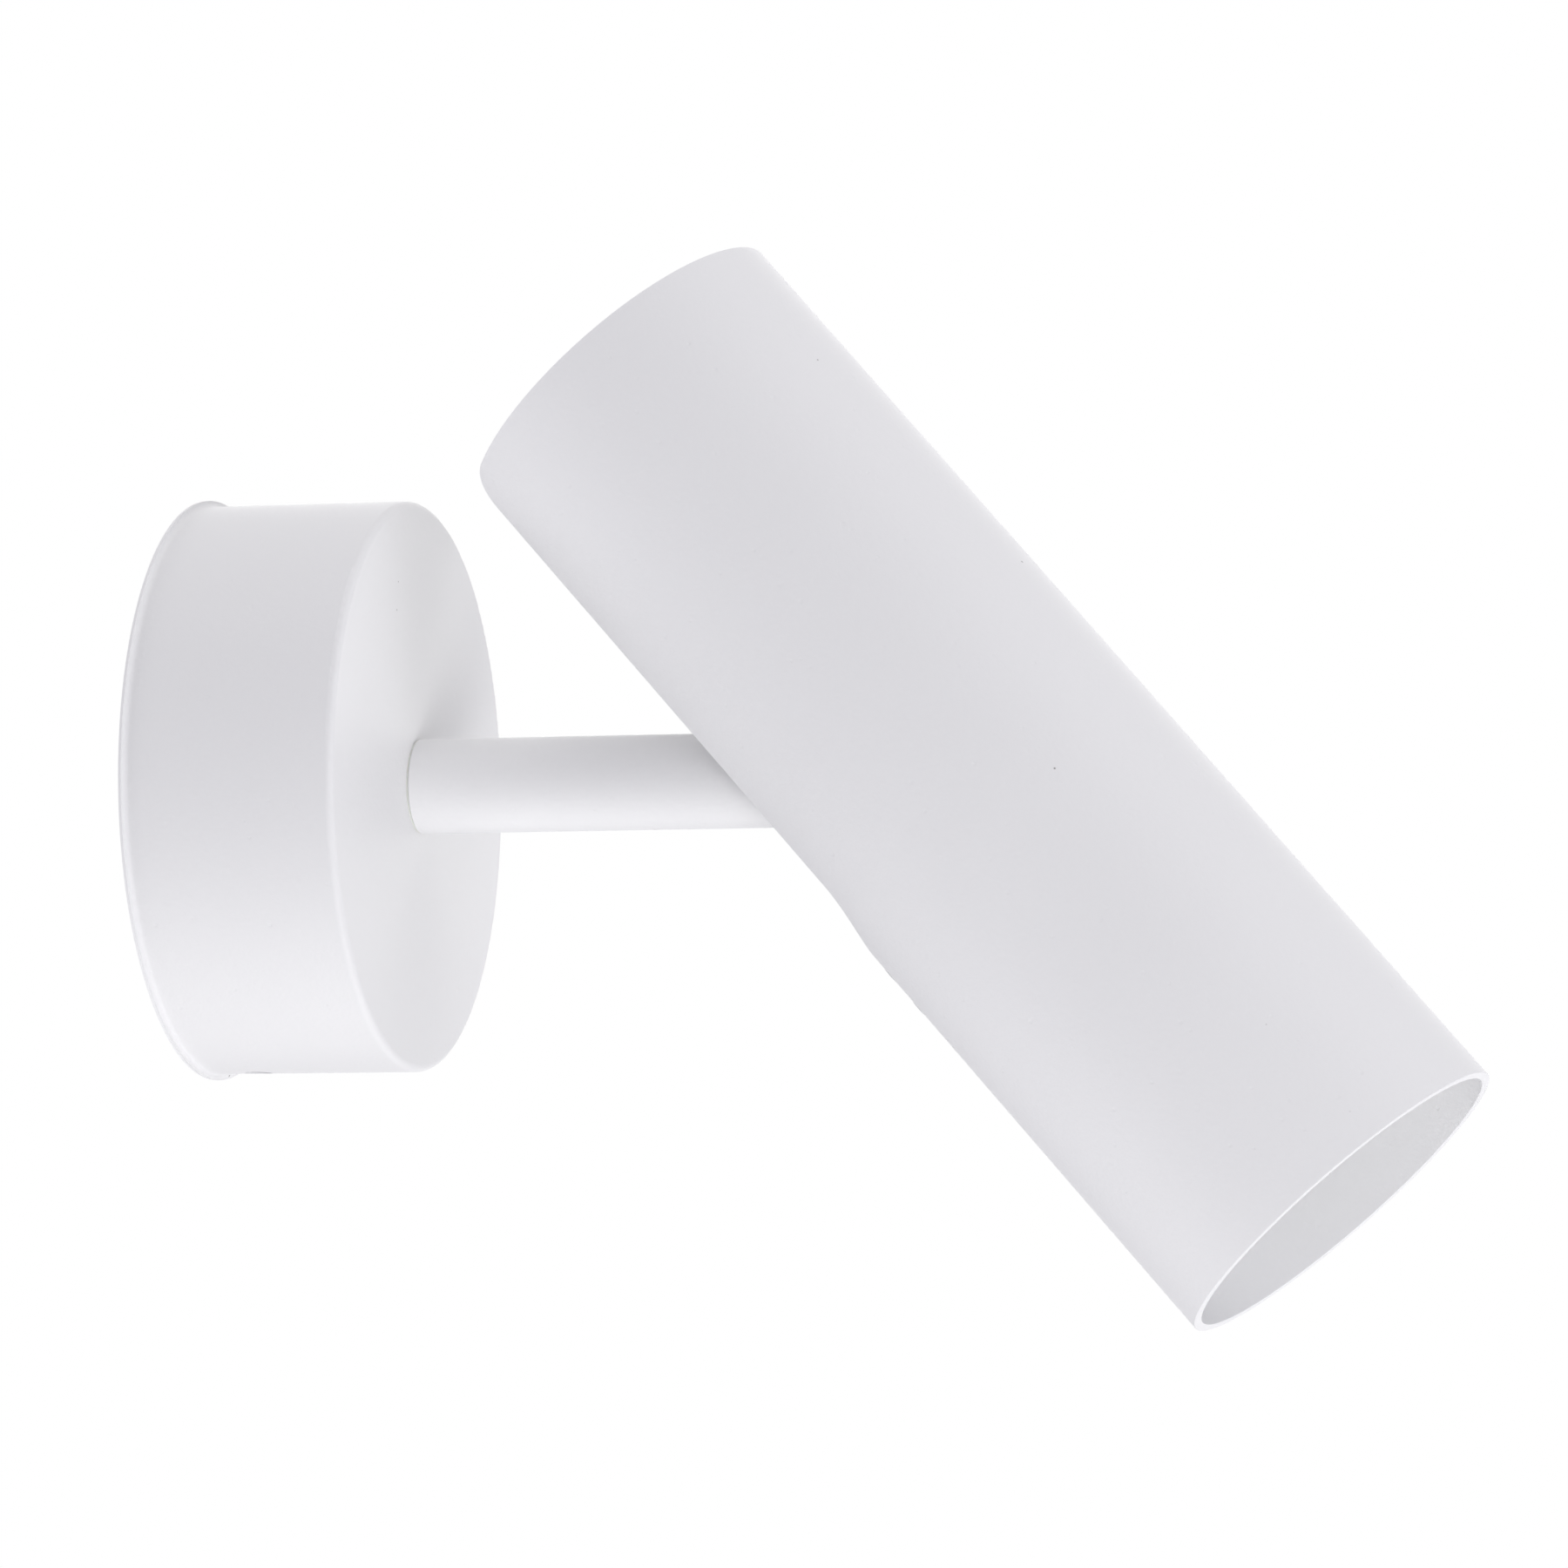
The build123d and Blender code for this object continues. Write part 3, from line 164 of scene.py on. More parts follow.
def area_light(name, place, size, power, colour=(1, 1, 1), mirrored=True):
    """A square soft light, with its place and size in metres, turned to shine on the wall light's middle.
    Where it isn't mirrored, plated parts show the white room instead of the lamp."""
    target = Vector((0, -0.1, 0))
    light = bpy.data.lights.new(name, "AREA")
    light.shape = "SQUARE"
    light.size = size
    light.energy = power
    light.color = colour
    lamp = bpy.data.objects.new(name, light)
    bpy.context.scene.collection.objects.link(lamp)
    lamp.location = place
    lamp.rotation_mode = "QUATERNION"
    lamp.rotation_quaternion = (target - Vector(place)).to_track_quat("-Z", "Y")
    lamp.visible_camera = False
    lamp.visible_glossy = mirrored


def make_lights():
    """Six large soft lights: low on the left, below, in front, above, on the right and behind."""
    cool = (0.96, 0.96, 1.0)
    slightly_cool = (0.98, 0.975, 1.0)
    warm = (1.0, 0.995, 0.96)
    slightly_warm = (1.0, 0.995, 0.97)
    area_light("low_left_softbox", (-1.0, -0.9, -0.7), size=0.8, power=8.6)
    area_light("low_softbox", (0, -0.1, -1.3), size=1.4, power=5.3)
    area_light("front_softbox", (0, -1.6, 0), size=1.2, power=5.1, colour=cool)
    area_light("top_softbox", (0, -0.1, 1.5), size=1.5, power=11.0, colour=slightly_warm, mirrored=False)
    area_light("right_softbox", (1.5, -0.1, 0.2), size=1.5, power=7.8, colour=warm)
    area_light("back_softbox", (-0.3, 1.5, 0.2), size=1.5, power=11.3, colour=slightly_cool, mirrored=False)


def make_world():
    """White where the camera, glass or metal sees it; a soft even light on the object."""
    world = bpy.data.worlds.new("studio")
    bpy.context.scene.world = world
    world.use_nodes = True
    tree = world.node_tree
    tree.nodes.clear()
    output = tree.nodes.new("ShaderNodeOutputWorld")
    seen = tree.nodes.new("ShaderNodeBackground")
    seen.inputs["Color"].default_value = (1, 1, 1, 1)
    seen.inputs["Strength"].default_value = 1.0
    fill = tree.nodes.new("ShaderNodeBackground")
    fill.inputs["Color"].default_value = (0.93, 0.915, 1.0, 1)
    fill.inputs["Strength"].default_value = 0.405
    path = tree.nodes.new("ShaderNodeLightPath")
    glossy = tree.nodes.new("ShaderNodeMath")
    glossy.operation = "MAXIMUM"
    through = tree.nodes.new("ShaderNodeMath")
    through.operation = "MAXIMUM"
    mix = tree.nodes.new("ShaderNodeMixShader")
    tree.links.new(path.outputs["Is Camera Ray"], glossy.inputs[0])
    tree.links.new(path.outputs["Is Glossy Ray"], glossy.inputs[1])
    tree.links.new(glossy.outputs[0], through.inputs[0])
    tree.links.new(path.outputs["Is Transmission Ray"], through.inputs[1])
    tree.links.new(through.outputs[0], mix.inputs["Fac"])
    tree.links.new(fill.outputs[0], mix.inputs[1])
    tree.links.new(seen.outputs[0], mix.inputs[2])
    tree.links.new(mix.outputs[0], output.inputs["Surface"])


def make_floor():
    """A pale floor, as far below the light as in a room, that catches its shadow. Sizes are in metres."""
    reach = 30.0
    height = -1.5
    corners = [(-reach, -reach), (reach, -reach), (reach, reach), (-reach, reach)]
    mesh = bpy.data.meshes.new("floor")
    mesh.from_pydata([(across, out, height) for across, out in corners], [], [(0, 1, 2, 3)])
    floor = bpy.data.objects.new("floor", mesh)
    bpy.context.scene.collection.objects.link(floor)
    material = bpy.data.materials.new("floor_paper")
    material.use_nodes = True
    shader = material.node_tree.nodes["Principled BSDF"]
    shader.inputs["Base Color"].default_value = (0.86, 0.86, 0.86, 1)
    shader.inputs["Roughness"].default_value = 0.9
    mesh.materials.append(material)


make_camera()
make_world()
make_floor()
make_lights()
bpy.context.scene.view_settings.view_transform = "Standard"


# ---- Effects that several finishes share ----
def new_group(name, inputs, outputs):
    """An empty node group with float inputs (name, value) and float outputs (name)."""
    group = bpy.data.node_groups.new(name, "ShaderNodeTree")
    for label, value in inputs:
        socket = group.interface.new_socket(name=label, in_out="INPUT", socket_type="NodeSocketFloat")
        socket.default_value = value
    for label in outputs:
        group.interface.new_socket(name=label, in_out="OUTPUT", socket_type="NodeSocketFloat")
    return group, group.nodes.new("NodeGroupInput"), group.nodes.new("NodeGroupOutput")


def feed(tree, value, socket):
    """Gives a socket a value, or links it to the socket that feeds it."""
    if isinstance(value, bpy.types.NodeSocket):
        tree.links.new(value, socket)
    else:
        socket.default_value = value


def maths(tree, operation, *values):
    """A Math node. Each value is a number or the socket that feeds it."""
    node = tree.nodes.new("ShaderNodeMath")
    node.operation = operation
    for place, value in enumerate(values):
        feed(tree, value, node.inputs[place])
    return node.outputs[0]


def noise(tree, coordinates, scale, detail=2.0, rough=0.5):
    """Noise of a scale in cells per metre."""
    node = tree.nodes.new("ShaderNodeTexNoise")
    tree.links.new(coordinates, node.inputs["Vector"])
    feed(tree, scale, node.inputs["Scale"])
    node.inputs["Detail"].default_value = detail
    node.inputs["Roughness"].default_value = rough
    return node.outputs["Fac"]


def spread(tree, value, low, high, to_low=0.0, to_high=1.0):
    """Maps low..high to to_low..to_high and holds it there."""
    node = tree.nodes.new("ShaderNodeMapRange")
    tree.links.new(value, node.inputs["Value"])
    for label, number in (("From Min", low), ("From Max", high), ("To Min", to_low), ("To Max", to_high)):
        feed(tree, number, node.inputs[label])
    return node.outputs["Result"]


def mixed(tree, factor, first, second):
    """A mix of two colours, each given as a colour or as the socket that feeds it."""
    node = tree.nodes.new("ShaderNodeMix")
    node.data_type = "RGBA"
    tree.links.new(factor, node.inputs["Factor"])
    feed(tree, first, node.inputs[6])
    feed(tree, second, node.inputs[7])
    return node.outputs[2]


def dots(tree, coordinates, spacing, radius, share):
    """Round dots in a share of the cells of a spacing, in mm. A dot has 0.6 to 1.2 times the radius, and is
    full inside 0.4 of its own."""
    cells = tree.nodes.new("ShaderNodeTexVoronoi")
    cells.inputs["Scale"].default_value = 1 / (spacing * MM)
    tree.links.new(coordinates, cells.inputs["Vector"])
    lot = tree.nodes.new("ShaderNodeSeparateColor")
    tree.links.new(cells.outputs["Color"], lot.inputs["Color"])
    chosen = maths(tree, "LESS_THAN", lot.outputs["Red"], share)
    smallest = 0.6 * radius / spacing
    size = maths(tree, "MULTIPLY_ADD", lot.outputs["Green"], smallest, smallest)
    dot = spread(tree, cells.outputs["Distance"], maths(tree, "MULTIPLY", size, 0.4), size, 1.0, 0.0)
    return maths(tree, "MULTIPLY", dot, chosen)


def make_sprayed_coat():
    """Powder coat: orange peel, small pits, and now and then a dark speck baked into it."""
    group, given, result = new_group(
        "sprayed_coat", [("Peel Size", 0.9), ("Speck Share", 0.2)], ["Tone", "Speck", "Height"]
    )
    fineness = 3.3  # how many grains of the finer grain go across one of the peel's
    grain_height = 0.25
    pit_depth = 0.8
    place = group.nodes.new("ShaderNodeTexCoord").outputs["Object"]
    peel_scale = maths(group, "DIVIDE", 1000.0, given.outputs["Peel Size"])
    peel = noise(group, place, peel_scale, detail=1.0)
    grain = noise(group, place, maths(group, "MULTIPLY", peel_scale, fineness), detail=1.0)
    cloud = noise(group, place, scale=28.0)
    pits = dots(group, place, spacing=3.0, radius=0.45, share=0.3)
    speck = dots(group, place, spacing=7.0, radius=0.3, share=given.outputs["Speck Share"])
    surface = maths(group, "MULTIPLY_ADD", grain, grain_height, peel)
    height = maths(group, "SUBTRACT", surface, maths(group, "MULTIPLY", pits, pit_depth))
    group.links.new(spread(group, cloud, low=0.3, high=0.7), result.inputs["Tone"])
    group.links.new(speck, result.inputs["Speck"])
    group.links.new(height, result.inputs["Height"])
    return group


def make_plated_sheet():
    """Bright plate on rolled or turned metal: soft clouds, fine scratches and tool marks."""
    group, given, result = new_group(
        "plated_sheet", [("Cloud Size", 6.0), ("Scratch Share", 0.5)], ["Tone", "Speck", "Height"]
    )
    line_share = 0.3  # of the tone, the rest being the clouds'
    place = group.nodes.new("ShaderNodeTexCoord").outputs["Object"]
    cloud = noise(group, place, maths(group, "DIVIDE", 1000.0, given.outputs["Cloud Size"]), detail=4.0)
    stretch = group.nodes.new("ShaderNodeMapping")
    stretch.inputs["Scale"].default_value = (0.06, 1.0, 0.5)
    stretch.inputs["Rotation"].default_value = (0.2, 0.5, 0.9)
    group.links.new(place, stretch.inputs["Vector"])
    lines = noise(group, stretch.outputs["Vector"], scale=5200.0)
    scratch = spread(group, lines, low=0.62, high=0.74)
    tone = maths(group, "MULTIPLY_ADD", lines, line_share, maths(group, "MULTIPLY", cloud, 1 - line_share))
    seen_scratch = maths(group, "MULTIPLY", scratch, given.outputs["Scratch Share"])
    group.links.new(spread(group, tone, low=0.35, high=0.65), result.inputs["Tone"])
    group.links.new(seen_scratch, result.inputs["Speck"])
    group.links.new(maths(group, "SUBTRACT", 1.0, scratch), result.inputs["Height"])
    return group


def make_moulded_skin():
    """The skin of moulded plastic, rubber, fibre or glaze: fine grain and faint flow marks."""
    group, given, result = new_group(
        "moulded_skin", [("Grain Size", 0.4), ("Speck Share", 0.02)], ["Tone", "Speck", "Height"]
    )
    grain_share = 0.45  # of the tone, the rest being the flow marks'
    place = group.nodes.new("ShaderNodeTexCoord").outputs["Object"]
    grain_scale = maths(group, "DIVIDE", 1000.0, given.outputs["Grain Size"])
    grain = noise(group, place, grain_scale, detail=3.0, rough=0.6)
    flow = noise(group, place, scale=90.0, detail=3.0)
    tone = maths(group, "MULTIPLY_ADD", grain, grain_share, maths(group, "MULTIPLY", flow, 1 - grain_share))
    speck = dots(group, place, spacing=3.5, radius=0.16, share=given.outputs["Speck Share"])
    group.links.new(spread(group, tone, low=0.36, high=0.64), result.inputs["Tone"])
    group.links.new(speck, result.inputs["Speck"])
    group.links.new(grain, result.inputs["Height"])
    return group


SPRAYED = make_sprayed_coat()
PLATED = make_plated_sheet()
MOULDED = make_moulded_skin()


# ---- Finishes ----
def finish(name, effect, size, share, light, dark, speck, roughness, depth, **sockets):
    """A material from a shared effect, which takes a size in mm and a share. Its tone goes from dark to
    light and its roughness from the first number to the second; specks take their own colour. Depth is that
    of the relief, in mm."""
    material = bpy.data.materials.new(name)
    material.use_nodes = True
    tree = material.node_tree
    shader = tree.nodes["Principled BSDF"]
    marks = tree.nodes.new("ShaderNodeGroup")
    marks.node_tree = effect
    marks.inputs[0].default_value = size
    marks.inputs[1].default_value = share
    shade = mixed(tree, marks.outputs["Tone"], (*dark, 1), (*light, 1))
    speckled = mixed(tree, marks.outputs["Speck"], shade, (*speck, 1))
    tree.links.new(speckled, shader.inputs["Base Color"])
    tree.links.new(spread(tree, marks.outputs["Tone"], 0.0, 1.0, *roughness), shader.inputs["Roughness"])
    relief = tree.nodes.new("ShaderNodeBump")
    relief.inputs["Strength"].default_value = 1.0
    relief.inputs["Distance"].default_value = depth * MM
    tree.links.new(marks.outputs["Height"], relief.inputs["Height"])
    tree.links.new(relief.outputs["Normal"], shader.inputs["Normal"])
    for label, value in sockets.items():
        shader.inputs[label.replace("_", " ")].default_value = value
    return material


def striped_insulation():
    """Green insulation with one yellow stripe along it, on a lead whose map goes round it once."""
    material = finish(
        "earth_insulation", MOULDED, size=0.5, share=0.0,
        light=(0.14, 0.36, 0.07), dark=(0.11, 0.30, 0.055), speck=(0.1, 0.3, 0.05),
        roughness=(0.38, 0.48), depth=0.004,
    )
    tree = material.node_tree
    shader = tree.nodes["Principled BSDF"]
    green = shader.inputs["Base Color"].links[0].from_socket
    yellow = (0.78, 0.62, 0.04, 1)
    around = tree.nodes.new("ShaderNodeSeparateXYZ")
    tree.links.new(tree.nodes.new("ShaderNodeTexCoord").outputs["UV"], around.inputs[0])
    side = maths(tree, "ABSOLUTE", maths(tree, "SUBTRACT", around.outputs["X"], 0.5))
    stripe = spread(tree, side, low=0.17, high=0.19, to_low=1.0, to_high=0.0)
    tree.links.new(mixed(tree, stripe, green, yellow), shader.inputs["Base Color"])
    return material


FINISHES = {
    "white_coat": finish(
        "white_powder_coat", SPRAYED, size=0.9, share=0.2,
        light=(0.868, 0.867, 0.870), dark=(0.855, 0.854, 0.858), speck=(0.34, 0.33, 0.32),
        roughness=(0.5, 0.58), depth=0.05, Specular_IOR_Level=0.3,
    ),
    "zinc_steel": finish(
        "bright_zinc_plate", PLATED, size=6.0, share=0.5,
        light=(0.70, 0.71, 0.73), dark=(0.62, 0.63, 0.66), speck=(0.78, 0.78, 0.79),
        roughness=(0.24, 0.4), depth=0.003, Metallic=1.0,
    ),
    "spring_steel": finish(
        "hardened_spring_steel", PLATED, size=3.0, share=0.4,
        light=(0.44, 0.43, 0.42), dark=(0.30, 0.29, 0.29), speck=(0.55, 0.54, 0.53),
        roughness=(0.3, 0.45), depth=0.003, Metallic=1.0,
    ),
    "brass": finish(
        "turned_brass", PLATED, size=4.0, share=0.5,
        light=(0.80, 0.62, 0.31), dark=(0.66, 0.48, 0.22), speck=(0.88, 0.74, 0.45),
        roughness=(0.2, 0.34), depth=0.003, Metallic=1.0,
    ),
    "nylon": finish(
        "natural_nylon", MOULDED, size=0.5, share=0.03,
        light=(0.80, 0.79, 0.74), dark=(0.74, 0.73, 0.68), speck=(0.55, 0.52, 0.46),
        roughness=(0.4, 0.52), depth=0.008, Subsurface_Weight=0.1, Subsurface_Scale=0.001,
    ),
    "friction_fibre": finish(
        "pressed_fibre", MOULDED, size=0.25, share=0.3,
        light=(0.25, 0.19, 0.14), dark=(0.13, 0.10, 0.08), speck=(0.45, 0.36, 0.27),
        roughness=(0.75, 0.9), depth=0.02,
    ),
    "rubber": finish(
        "black_rubber", MOULDED, size=0.3, share=0.05,
        light=(0.045, 0.045, 0.048), dark=(0.028, 0.028, 0.030), speck=(0.09, 0.09, 0.09),
        roughness=(0.6, 0.75), depth=0.01,
    ),
    "ceramic": finish(
        "glazed_steatite", MOULDED, size=0.8, share=0.04,
        light=(0.82, 0.80, 0.74), dark=(0.76, 0.74, 0.68), speck=(0.45, 0.40, 0.33),
        roughness=(0.16, 0.3), depth=0.006, Coat_Weight=0.4, Coat_Roughness=0.08,
    ),
    "lead_live": finish(
        "brown_insulation", MOULDED, size=0.5, share=0.0,
        light=(0.16, 0.068, 0.034), dark=(0.12, 0.05, 0.025), speck=(0.1, 0.05, 0.02),
        roughness=(0.38, 0.48), depth=0.004,
    ),
    "lead_neutral": finish(
        "blue_insulation", MOULDED, size=0.5, share=0.0,
        light=(0.05, 0.15, 0.42), dark=(0.04, 0.12, 0.34), speck=(0.04, 0.1, 0.3),
        roughness=(0.38, 0.48), depth=0.004,
    ),
    "lead_earth": striped_insulation(),
    "lamp_plastic": finish(
        "satin_lamp_body", MOULDED, size=0.35, share=0.02,
        light=(0.83, 0.83, 0.82), dark=(0.79, 0.79, 0.78), speck=(0.6, 0.6, 0.58),
        roughness=(0.34, 0.46), depth=0.006,
    ),
    "lens": finish(
        "frosted_lens", MOULDED, size=0.6, share=0.0,
        light=(0.95, 0.96, 0.97), dark=(0.91, 0.93, 0.94), speck=(0.9, 0.9, 0.9),
        roughness=(0.12, 0.2), depth=0.003, Transmission_Weight=0.65, IOR=1.49,
    ),
    "light_board": finish(
        "white_solder_mask", MOULDED, size=0.3, share=0.05,
        light=(0.80, 0.81, 0.80), dark=(0.75, 0.76, 0.75), speck=(0.6, 0.55, 0.4),
        roughness=(0.3, 0.4), depth=0.004,
    ),
    "emitter": finish(
        "phosphor", MOULDED, size=0.12, share=0.25,
        light=(0.83, 0.60, 0.10), dark=(0.72, 0.49, 0.06), speck=(0.9, 0.75, 0.3),
        roughness=(0.45, 0.6), depth=0.01,
    ),
}
for part in frame["record"]["subparts"]:
    for slot in frame["nodes"][part["node"]].material_slots:
        slot.material = FINISHES[part["material_slot"]]


# ---- Meshes ----
def in_head(across, above, along):
    """A point in metres, from its place in the lamp tube in mm from the pivot."""
    return (PIVOT + Vector((across, 0, 0)) + ABOVE * above + FORWARD * along) * MM


def turned(profile, steps, shape=None, middle=(0, 0), closed=False):
    """A profile of (along, radius) turned about a line along the lamp tube. A radius of 0 is one point on
    that line. Shape, if given, changes a point's (along, radius) at a place in the profile and a turn."""
    points, rings, faces = [], [], []
    for number, (along, radius) in enumerate(profile):
        ring = []
        for step in range(steps if radius else 1):
            turn = 2 * math.pi * step / steps
            here, reach = shape(number, turn, along, radius) if shape else (along, radius)
            across = middle[0] + reach * math.cos(turn)
            above = middle[1] + reach * math.sin(turn)
            ring.append(len(points))
            points.append(in_head(across, above, here))
        rings.append(ring)
    for first, second in zip(rings, rings[1:] + (rings[:1] if closed else [])):
        for step in range(steps):
            after = (step + 1) % steps
            corners = [first[step % len(first)], first[after % len(first)]]
            corners += [second[after % len(second)], second[step % len(second)]]
            kept = list(dict.fromkeys(corners))
            if len(kept) > 2:
                faces.append(kept)
    return points, faces


def joined(*shapes):
    """Several shapes as one list of points and one of faces."""
    points, faces = [], []
    for some_points, some_faces in shapes:
        start = len(points)
        points += some_points
        faces += [[start + corner for corner in face] for face in some_faces]
    return points, faces


def new_piece(name, shape, slot_name, crease=35.0, maps=None):
    """A smooth closed piece whose edges stay sharp where its faces meet at more than crease degrees."""
    mesh = bpy.data.meshes.new(name)
    mesh.from_pydata(shape[0], [], shape[1])
    if maps:
        layer = mesh.uv_layers.new(name="around")
        for loop in mesh.loops:
            layer.data[loop.index].uv = maps[loop.index]
    work = bmesh.new()
    work.from_mesh(mesh)
    bmesh.ops.recalc_face_normals(work, faces=work.faces)
    for face in work.faces:
        face.smooth = True
    for edge in work.edges:
        edge.smooth = not edge.is_manifold or edge.calc_face_angle(0) < math.radians(crease)
    work.to_mesh(mesh)
    work.free()
    piece = bpy.data.objects.new(name, mesh)
    bpy.context.scene.collection.objects.link(piece)
    mesh.materials.append(FINISHES[slot_name])
    return piece


# ---- Lamp ----
def lenslet_height(across, above):
    """How far a close-packed field of small domes stands up at a point."""
    row_gap = LENSLET_PITCH * math.sqrt(3) / 2
    nearest = LENSLET_PITCH
    base_row = math.floor(above / row_gap)
    for row in (base_row, base_row + 1):
        shift = (row % 2) * LENSLET_PITCH / 2
        column = round((across - shift) / LENSLET_PITCH)
        nearest = min(nearest, math.hypot(across - shift - column * LENSLET_PITCH, above - row * row_gap))
    return LENSLET_RISE * (1 - (nearest * math.sqrt(3) / LENSLET_PITCH) ** 2)


def make_lens():
    """The lamp's front: a frosted disc with a field of lenslets inside a plain rim."""
    ring_count = 48
    floor = LENS_FRONT - LENSLET_FLOOR
    rings = [(floor, LENSLET_FIELD * number / ring_count) for number in range(ring_count + 1)]
    edge_middle = 0.3 * LENS_EDGE
    rim = [
        (LENS_FRONT - LENS_RIM_STEP, LENS_RIM_START - LENS_RIM_SLOPE),
        (LENS_FRONT, LENS_RIM_START),
        (LENS_FRONT, LENS_RADIUS - LENS_EDGE),
        (LENS_FRONT - edge_middle, LENS_RADIUS - edge_middle),
        (LENS_FRONT - LENS_EDGE, LENS_RADIUS),
        (LENS_BACK, LENS_RADIUS),
        (LENS_BACK, 0),
    ]

    def domes(number, turn, along, radius):
        if number < len(rings):
            return along + lenslet_height(radius * math.cos(turn), radius * math.sin(turn)), radius
        return along, radius

    piece = new_piece("lens_with_lenslets", turned(rings + rim, LAMP_STEPS, domes), "lens", crease=60)
    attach(piece, "lamp")
    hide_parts("lamp_lens")


def cup_radius(along):
    """The radius of the lamp's cup between its flutes."""
    return NECK_RADIUS + (RIM_RADIUS - NECK_RADIUS) * (along - CUP_BACK) / (CUP_FRONT - CUP_BACK)


def make_lamp_shell():
    """The reflector lamp's body: a neck, a cup with cooling flutes, and a plain rim."""
    base_bore = BASE_RADIUS + LAMP_GAP
    board_seat = cup_radius(BOARD_BACK) - LAMP_WALL
    neck = [
        (NECK_BACK, base_bore),
        (NECK_BACK, NECK_RADIUS - SHELL_EDGE),
        (NECK_BACK + SHELL_EDGE, NECK_RADIUS),
    ]
    stations = 16
    places = [CUP_BACK + (CUP_FRONT - CUP_BACK) * number / stations for number in range(stations + 1)]
    cup = [(place, cup_radius(place)) for place in places]
    front_and_inside = [
        (LAMP_FRONT - SHELL_EDGE, RIM_RADIUS),
        (LAMP_FRONT, RIM_RADIUS - RIM_EDGE),
        (LAMP_FRONT, RIM_RADIUS - LAMP_WALL),
        (LENS_BACK, RIM_RADIUS - LAMP_WALL),
        (LENS_BACK, RIM_RADIUS - 2 * LAMP_WALL),
        (CUP_FRONT, RIM_RADIUS - 2 * LAMP_WALL),
        (BOARD_BACK, board_seat),
        (BOARD_BACK, board_seat - LAMP_GAP - BOARD_LEDGE),
        (BASE_FRONT, base_bore),
    ]

    def flute(number, turn, along, radius):
        share = (number - len(neck)) / stations
        if not 0 < share < 1:
            return along, radius
        fade = min(1.0, share / FLUTE_FADE, (1 - share) / FLUTE_FADE)
        wave = 0.5 - 0.5 * math.cos(FLUTE_COUNT * turn)
        return along, radius - FLUTE_DEPTH * fade * wave * wave * (3 - 2 * wave)

    shape = turned(neck + cup + front_and_inside, LAMP_STEPS, flute, closed=True)
    piece = new_piece("fluted_lamp_shell", shape, "lamp_plastic", crease=40)
    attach(piece, "lamp")
    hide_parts("lamp_shell")


def on_board(outline, steps, across=0, above=0):
    """An outline of (height, radius) turned about a line that stands on the light board."""
    profile = [(BOARD_FRONT + height, radius) for height, radius in outline]
    return turned(profile, steps, middle=(across, above))


def make_light_chip():
    """The light source on its board: a ring that holds a shallow dome of phosphor."""
    piece = new_piece("light_chip", on_board(CHIP_OUTLINE, CHIP_STEPS), "emitter", crease=50)
    piece.data.materials.append(FINISHES["light_board"])
    for face in piece.data.polygons:
        middle = face.center / MM - PIVOT
        if math.hypot(middle.x, middle.dot(ABOVE)) > PHOSPHOR_RADIUS:
            face.material_index = 1
    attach(piece, "lamp")
    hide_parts("led_emitter")


def make_board_fittings():
    """Two screws and four solder joints, which hold and feed the light board."""
    shapes = []
    for side in (1, -1):
        shapes.append(on_board(SCREW_OUTLINE, SCREW_STEPS, across=side * SCREW_OFFSET))
        for pole in (1, -1):
            across = pole * SOLDER_SPACING / 2
            shapes.append(on_board(SOLDER_OUTLINE, SOLDER_STEPS, across, above=side * SOLDER_OFFSET))
    piece = new_piece("board_screws_and_solder", joined(*shapes), "zinc_steel", crease=40)
    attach(piece, "lamp")


# ---- Leads ----
def smooth_line(name, route):
    """Points, in metres, along the smooth line that a route in mm leads."""
    curve = bpy.data.curves.new(name, "CURVE")
    curve.dimensions = "3D"
    curve.resolution_u = 10
    spline = curve.splines.new("NURBS")
    spline.points.add(len(route) - 1)
    for point, place in zip(spline.points, route):
        point.co = (*(Vector(place) * MM), 1)
    spline.order_u = 3
    spline.use_endpoint_u = True
    holder = bpy.data.objects.new(name, curve)
    line = bpy.data.meshes.new_from_object(holder)
    points = [vertex.co.copy() for vertex in line.vertices]
    bpy.data.objects.remove(holder)
    bpy.data.curves.remove(curve)
    bpy.data.meshes.remove(line)
    return points


def insulated(points, radius, sides=20):
    """A round lead along points: its shape, and a map that goes round it once."""
    shape_points, faces, maps = [], [], []
    tangents = [
        (points[min(place + 1, len(points) - 1)] - points[max(place - 1, 0)]).normalized()
        for place in range(len(points))
    ]
    normal = tangents[0].orthogonal().normalized()
    for point, tangent in zip(points, tangents):
        normal = (normal - tangent * normal.dot(tangent)).normalized()
        side = tangent.cross(normal)
        for step in range(sides):
            turn = 2 * math.pi * step / sides
            shape_points.append(point + (normal * math.cos(turn) + side * math.sin(turn)) * radius)
    for place in range(len(points) - 1):
        ahead = place + 1
        here = place * sides
        there = ahead * sides
        for step in range(sides):
            after = (step + 1) % sides
            faces.append([here + step, here + after, there + after, there + step])
            for around, along in ((step, place), (step + 1, place), (step + 1, ahead), (step, ahead)):
                maps.append((around / sides, along / len(points)))
    last = (len(points) - 1) * sides
    for cap in (list(range(sides))[::-1], [last + step for step in range(sides)]):
        faces.append(cap)
        maps += [(0.5, 0.5)] * sides
    return (shape_points, faces), maps


def new_lead(name, route, slot_name):
    """An insulated lead along a route in mm."""
    shape, maps = insulated(smooth_line(name, route), LEAD_RADIUS * MM)
    return new_piece(name, shape, slot_name, maps=maps)


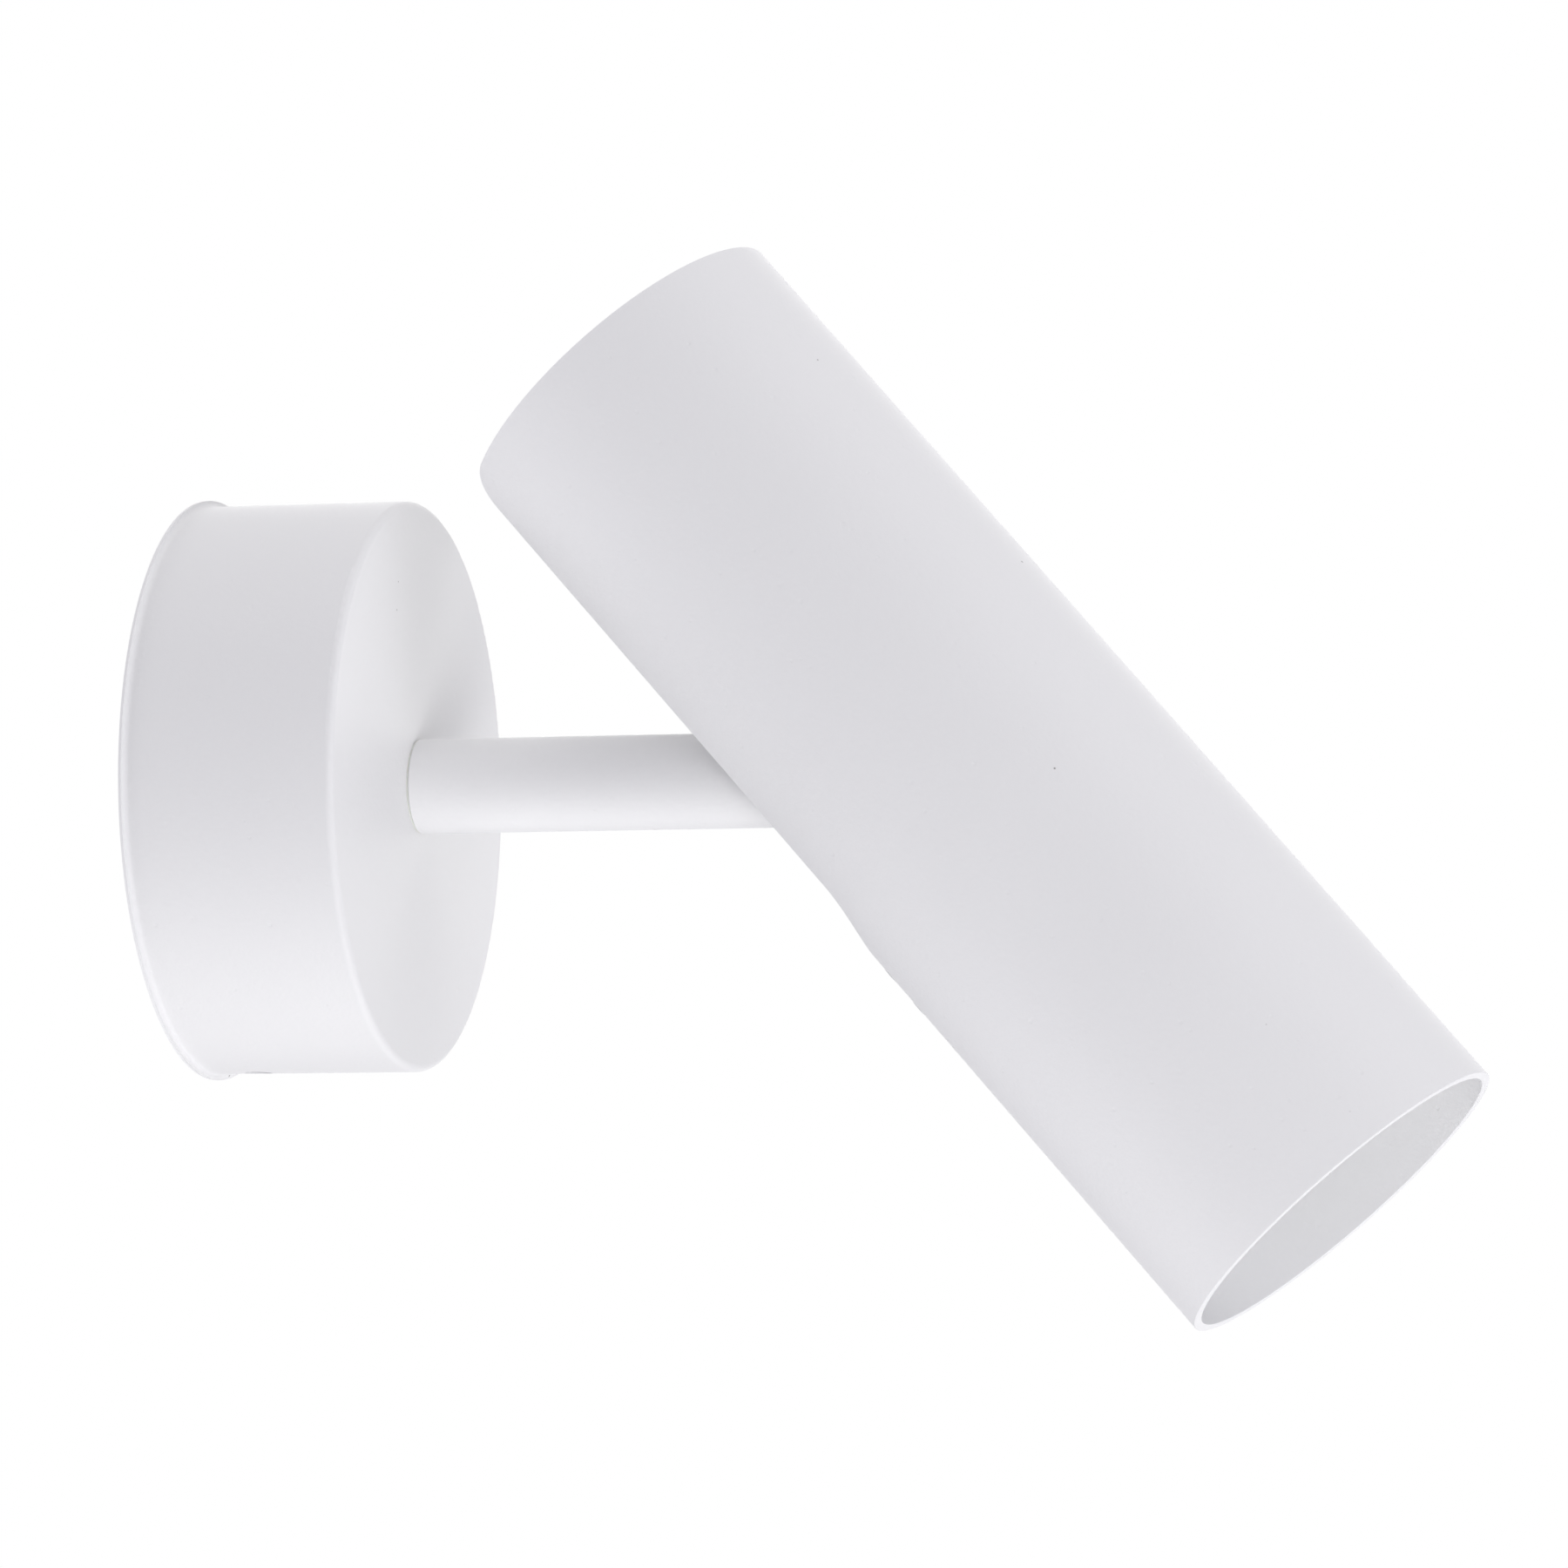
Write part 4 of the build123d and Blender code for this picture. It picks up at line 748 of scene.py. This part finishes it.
def make_supply_lead(name, pole, slot_name, nodes):
    """A lead from its terminal through the spindle and the arm."""
    side = pole * LEAD_OFFSET
    route = [
        (TERMINAL_FACE + LEAD_INSERTION, -WIRE_DISTANCE, pole * TERMINAL_PITCH),
        (TERMINAL_FACE - LEAD_STRAIGHT, -WIRE_DISTANCE, pole * TERMINAL_PITCH),
        (side, -WIRE_DISTANCE - LEAD_STRAIGHT, 0),
        (side, -WIRE_DISTANCE - 2 * LEAD_STRAIGHT, 0),
        (side, -LEAD_MIDDLE, 0),
        (side, -LEAD_RISE + LEAD_RISE_BEND, 0),
        (side, -LEAD_RISE, 0),
        (side, -LEAD_RISE, LEAD_EXIT),
    ]
    piece = new_lead(name, route, slot_name)
    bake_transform(piece)
    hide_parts(*nodes)


def make_head_lead(name, pole, slot_name, node):
    """A lead that rises out of the arm and goes over the pivot, through the bulkhead, to the lampholder."""
    side = pole * LEAD_OFFSET
    behind = PIVOT + ABOVE * LEAD_EXIT - FORWARD * HEAD_LEAD_RUN
    holder = PIVOT + ABOVE * LEAD_EXIT + FORWARD * HOLDER_BACK
    route = [
        (side, -LEAD_RISE, LEAD_EXIT),
        (side, -LEAD_RISE, LEAD_EXIT + HEAD_LEAD_LIFT),
        (side, behind.y, behind.z),
        (side, holder.y, holder.z),
    ]
    piece = new_lead(name, route, slot_name)
    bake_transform(piece)
    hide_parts(node)


def make_earth_lead():
    """The striped lead from the lug on the wall plate to the middle terminal."""
    lug_end = EARTH_LUG_ACROSS + EARTH_LUG_LENGTH
    route = [
        (lug_end - EARTH_LUG_LENGTH / 2, -EARTH_LUG_DISTANCE, EARTH_LUG_UP),
        (lug_end + LEAD_STRAIGHT / 2, -EARTH_LUG_DISTANCE, EARTH_LUG_UP),
        (TERMINAL_FACE - LEAD_STRAIGHT, -WIRE_DISTANCE, 0),
        (TERMINAL_FACE + LEAD_INSERTION, -WIRE_DISTANCE, 0),
    ]
    piece = new_lead("striped_earth_lead", route, "lead_earth")
    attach(piece, "wall_base")
    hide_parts("earth_lead")


make_lens()
make_lamp_shell()
make_light_chip()
make_board_fittings()
make_supply_lead("live_lead", 1, "lead_live", ("supply_lead_live", "arm_lead_live"))
make_supply_lead("neutral_lead", -1, "lead_neutral", ("supply_lead_neutral", "arm_lead_neutral"))
make_head_lead("live_head_lead", 1, "lead_live", "head_lead_live")
make_head_lead("neutral_head_lead", -1, "lead_neutral", "head_lead_neutral")
make_earth_lead()
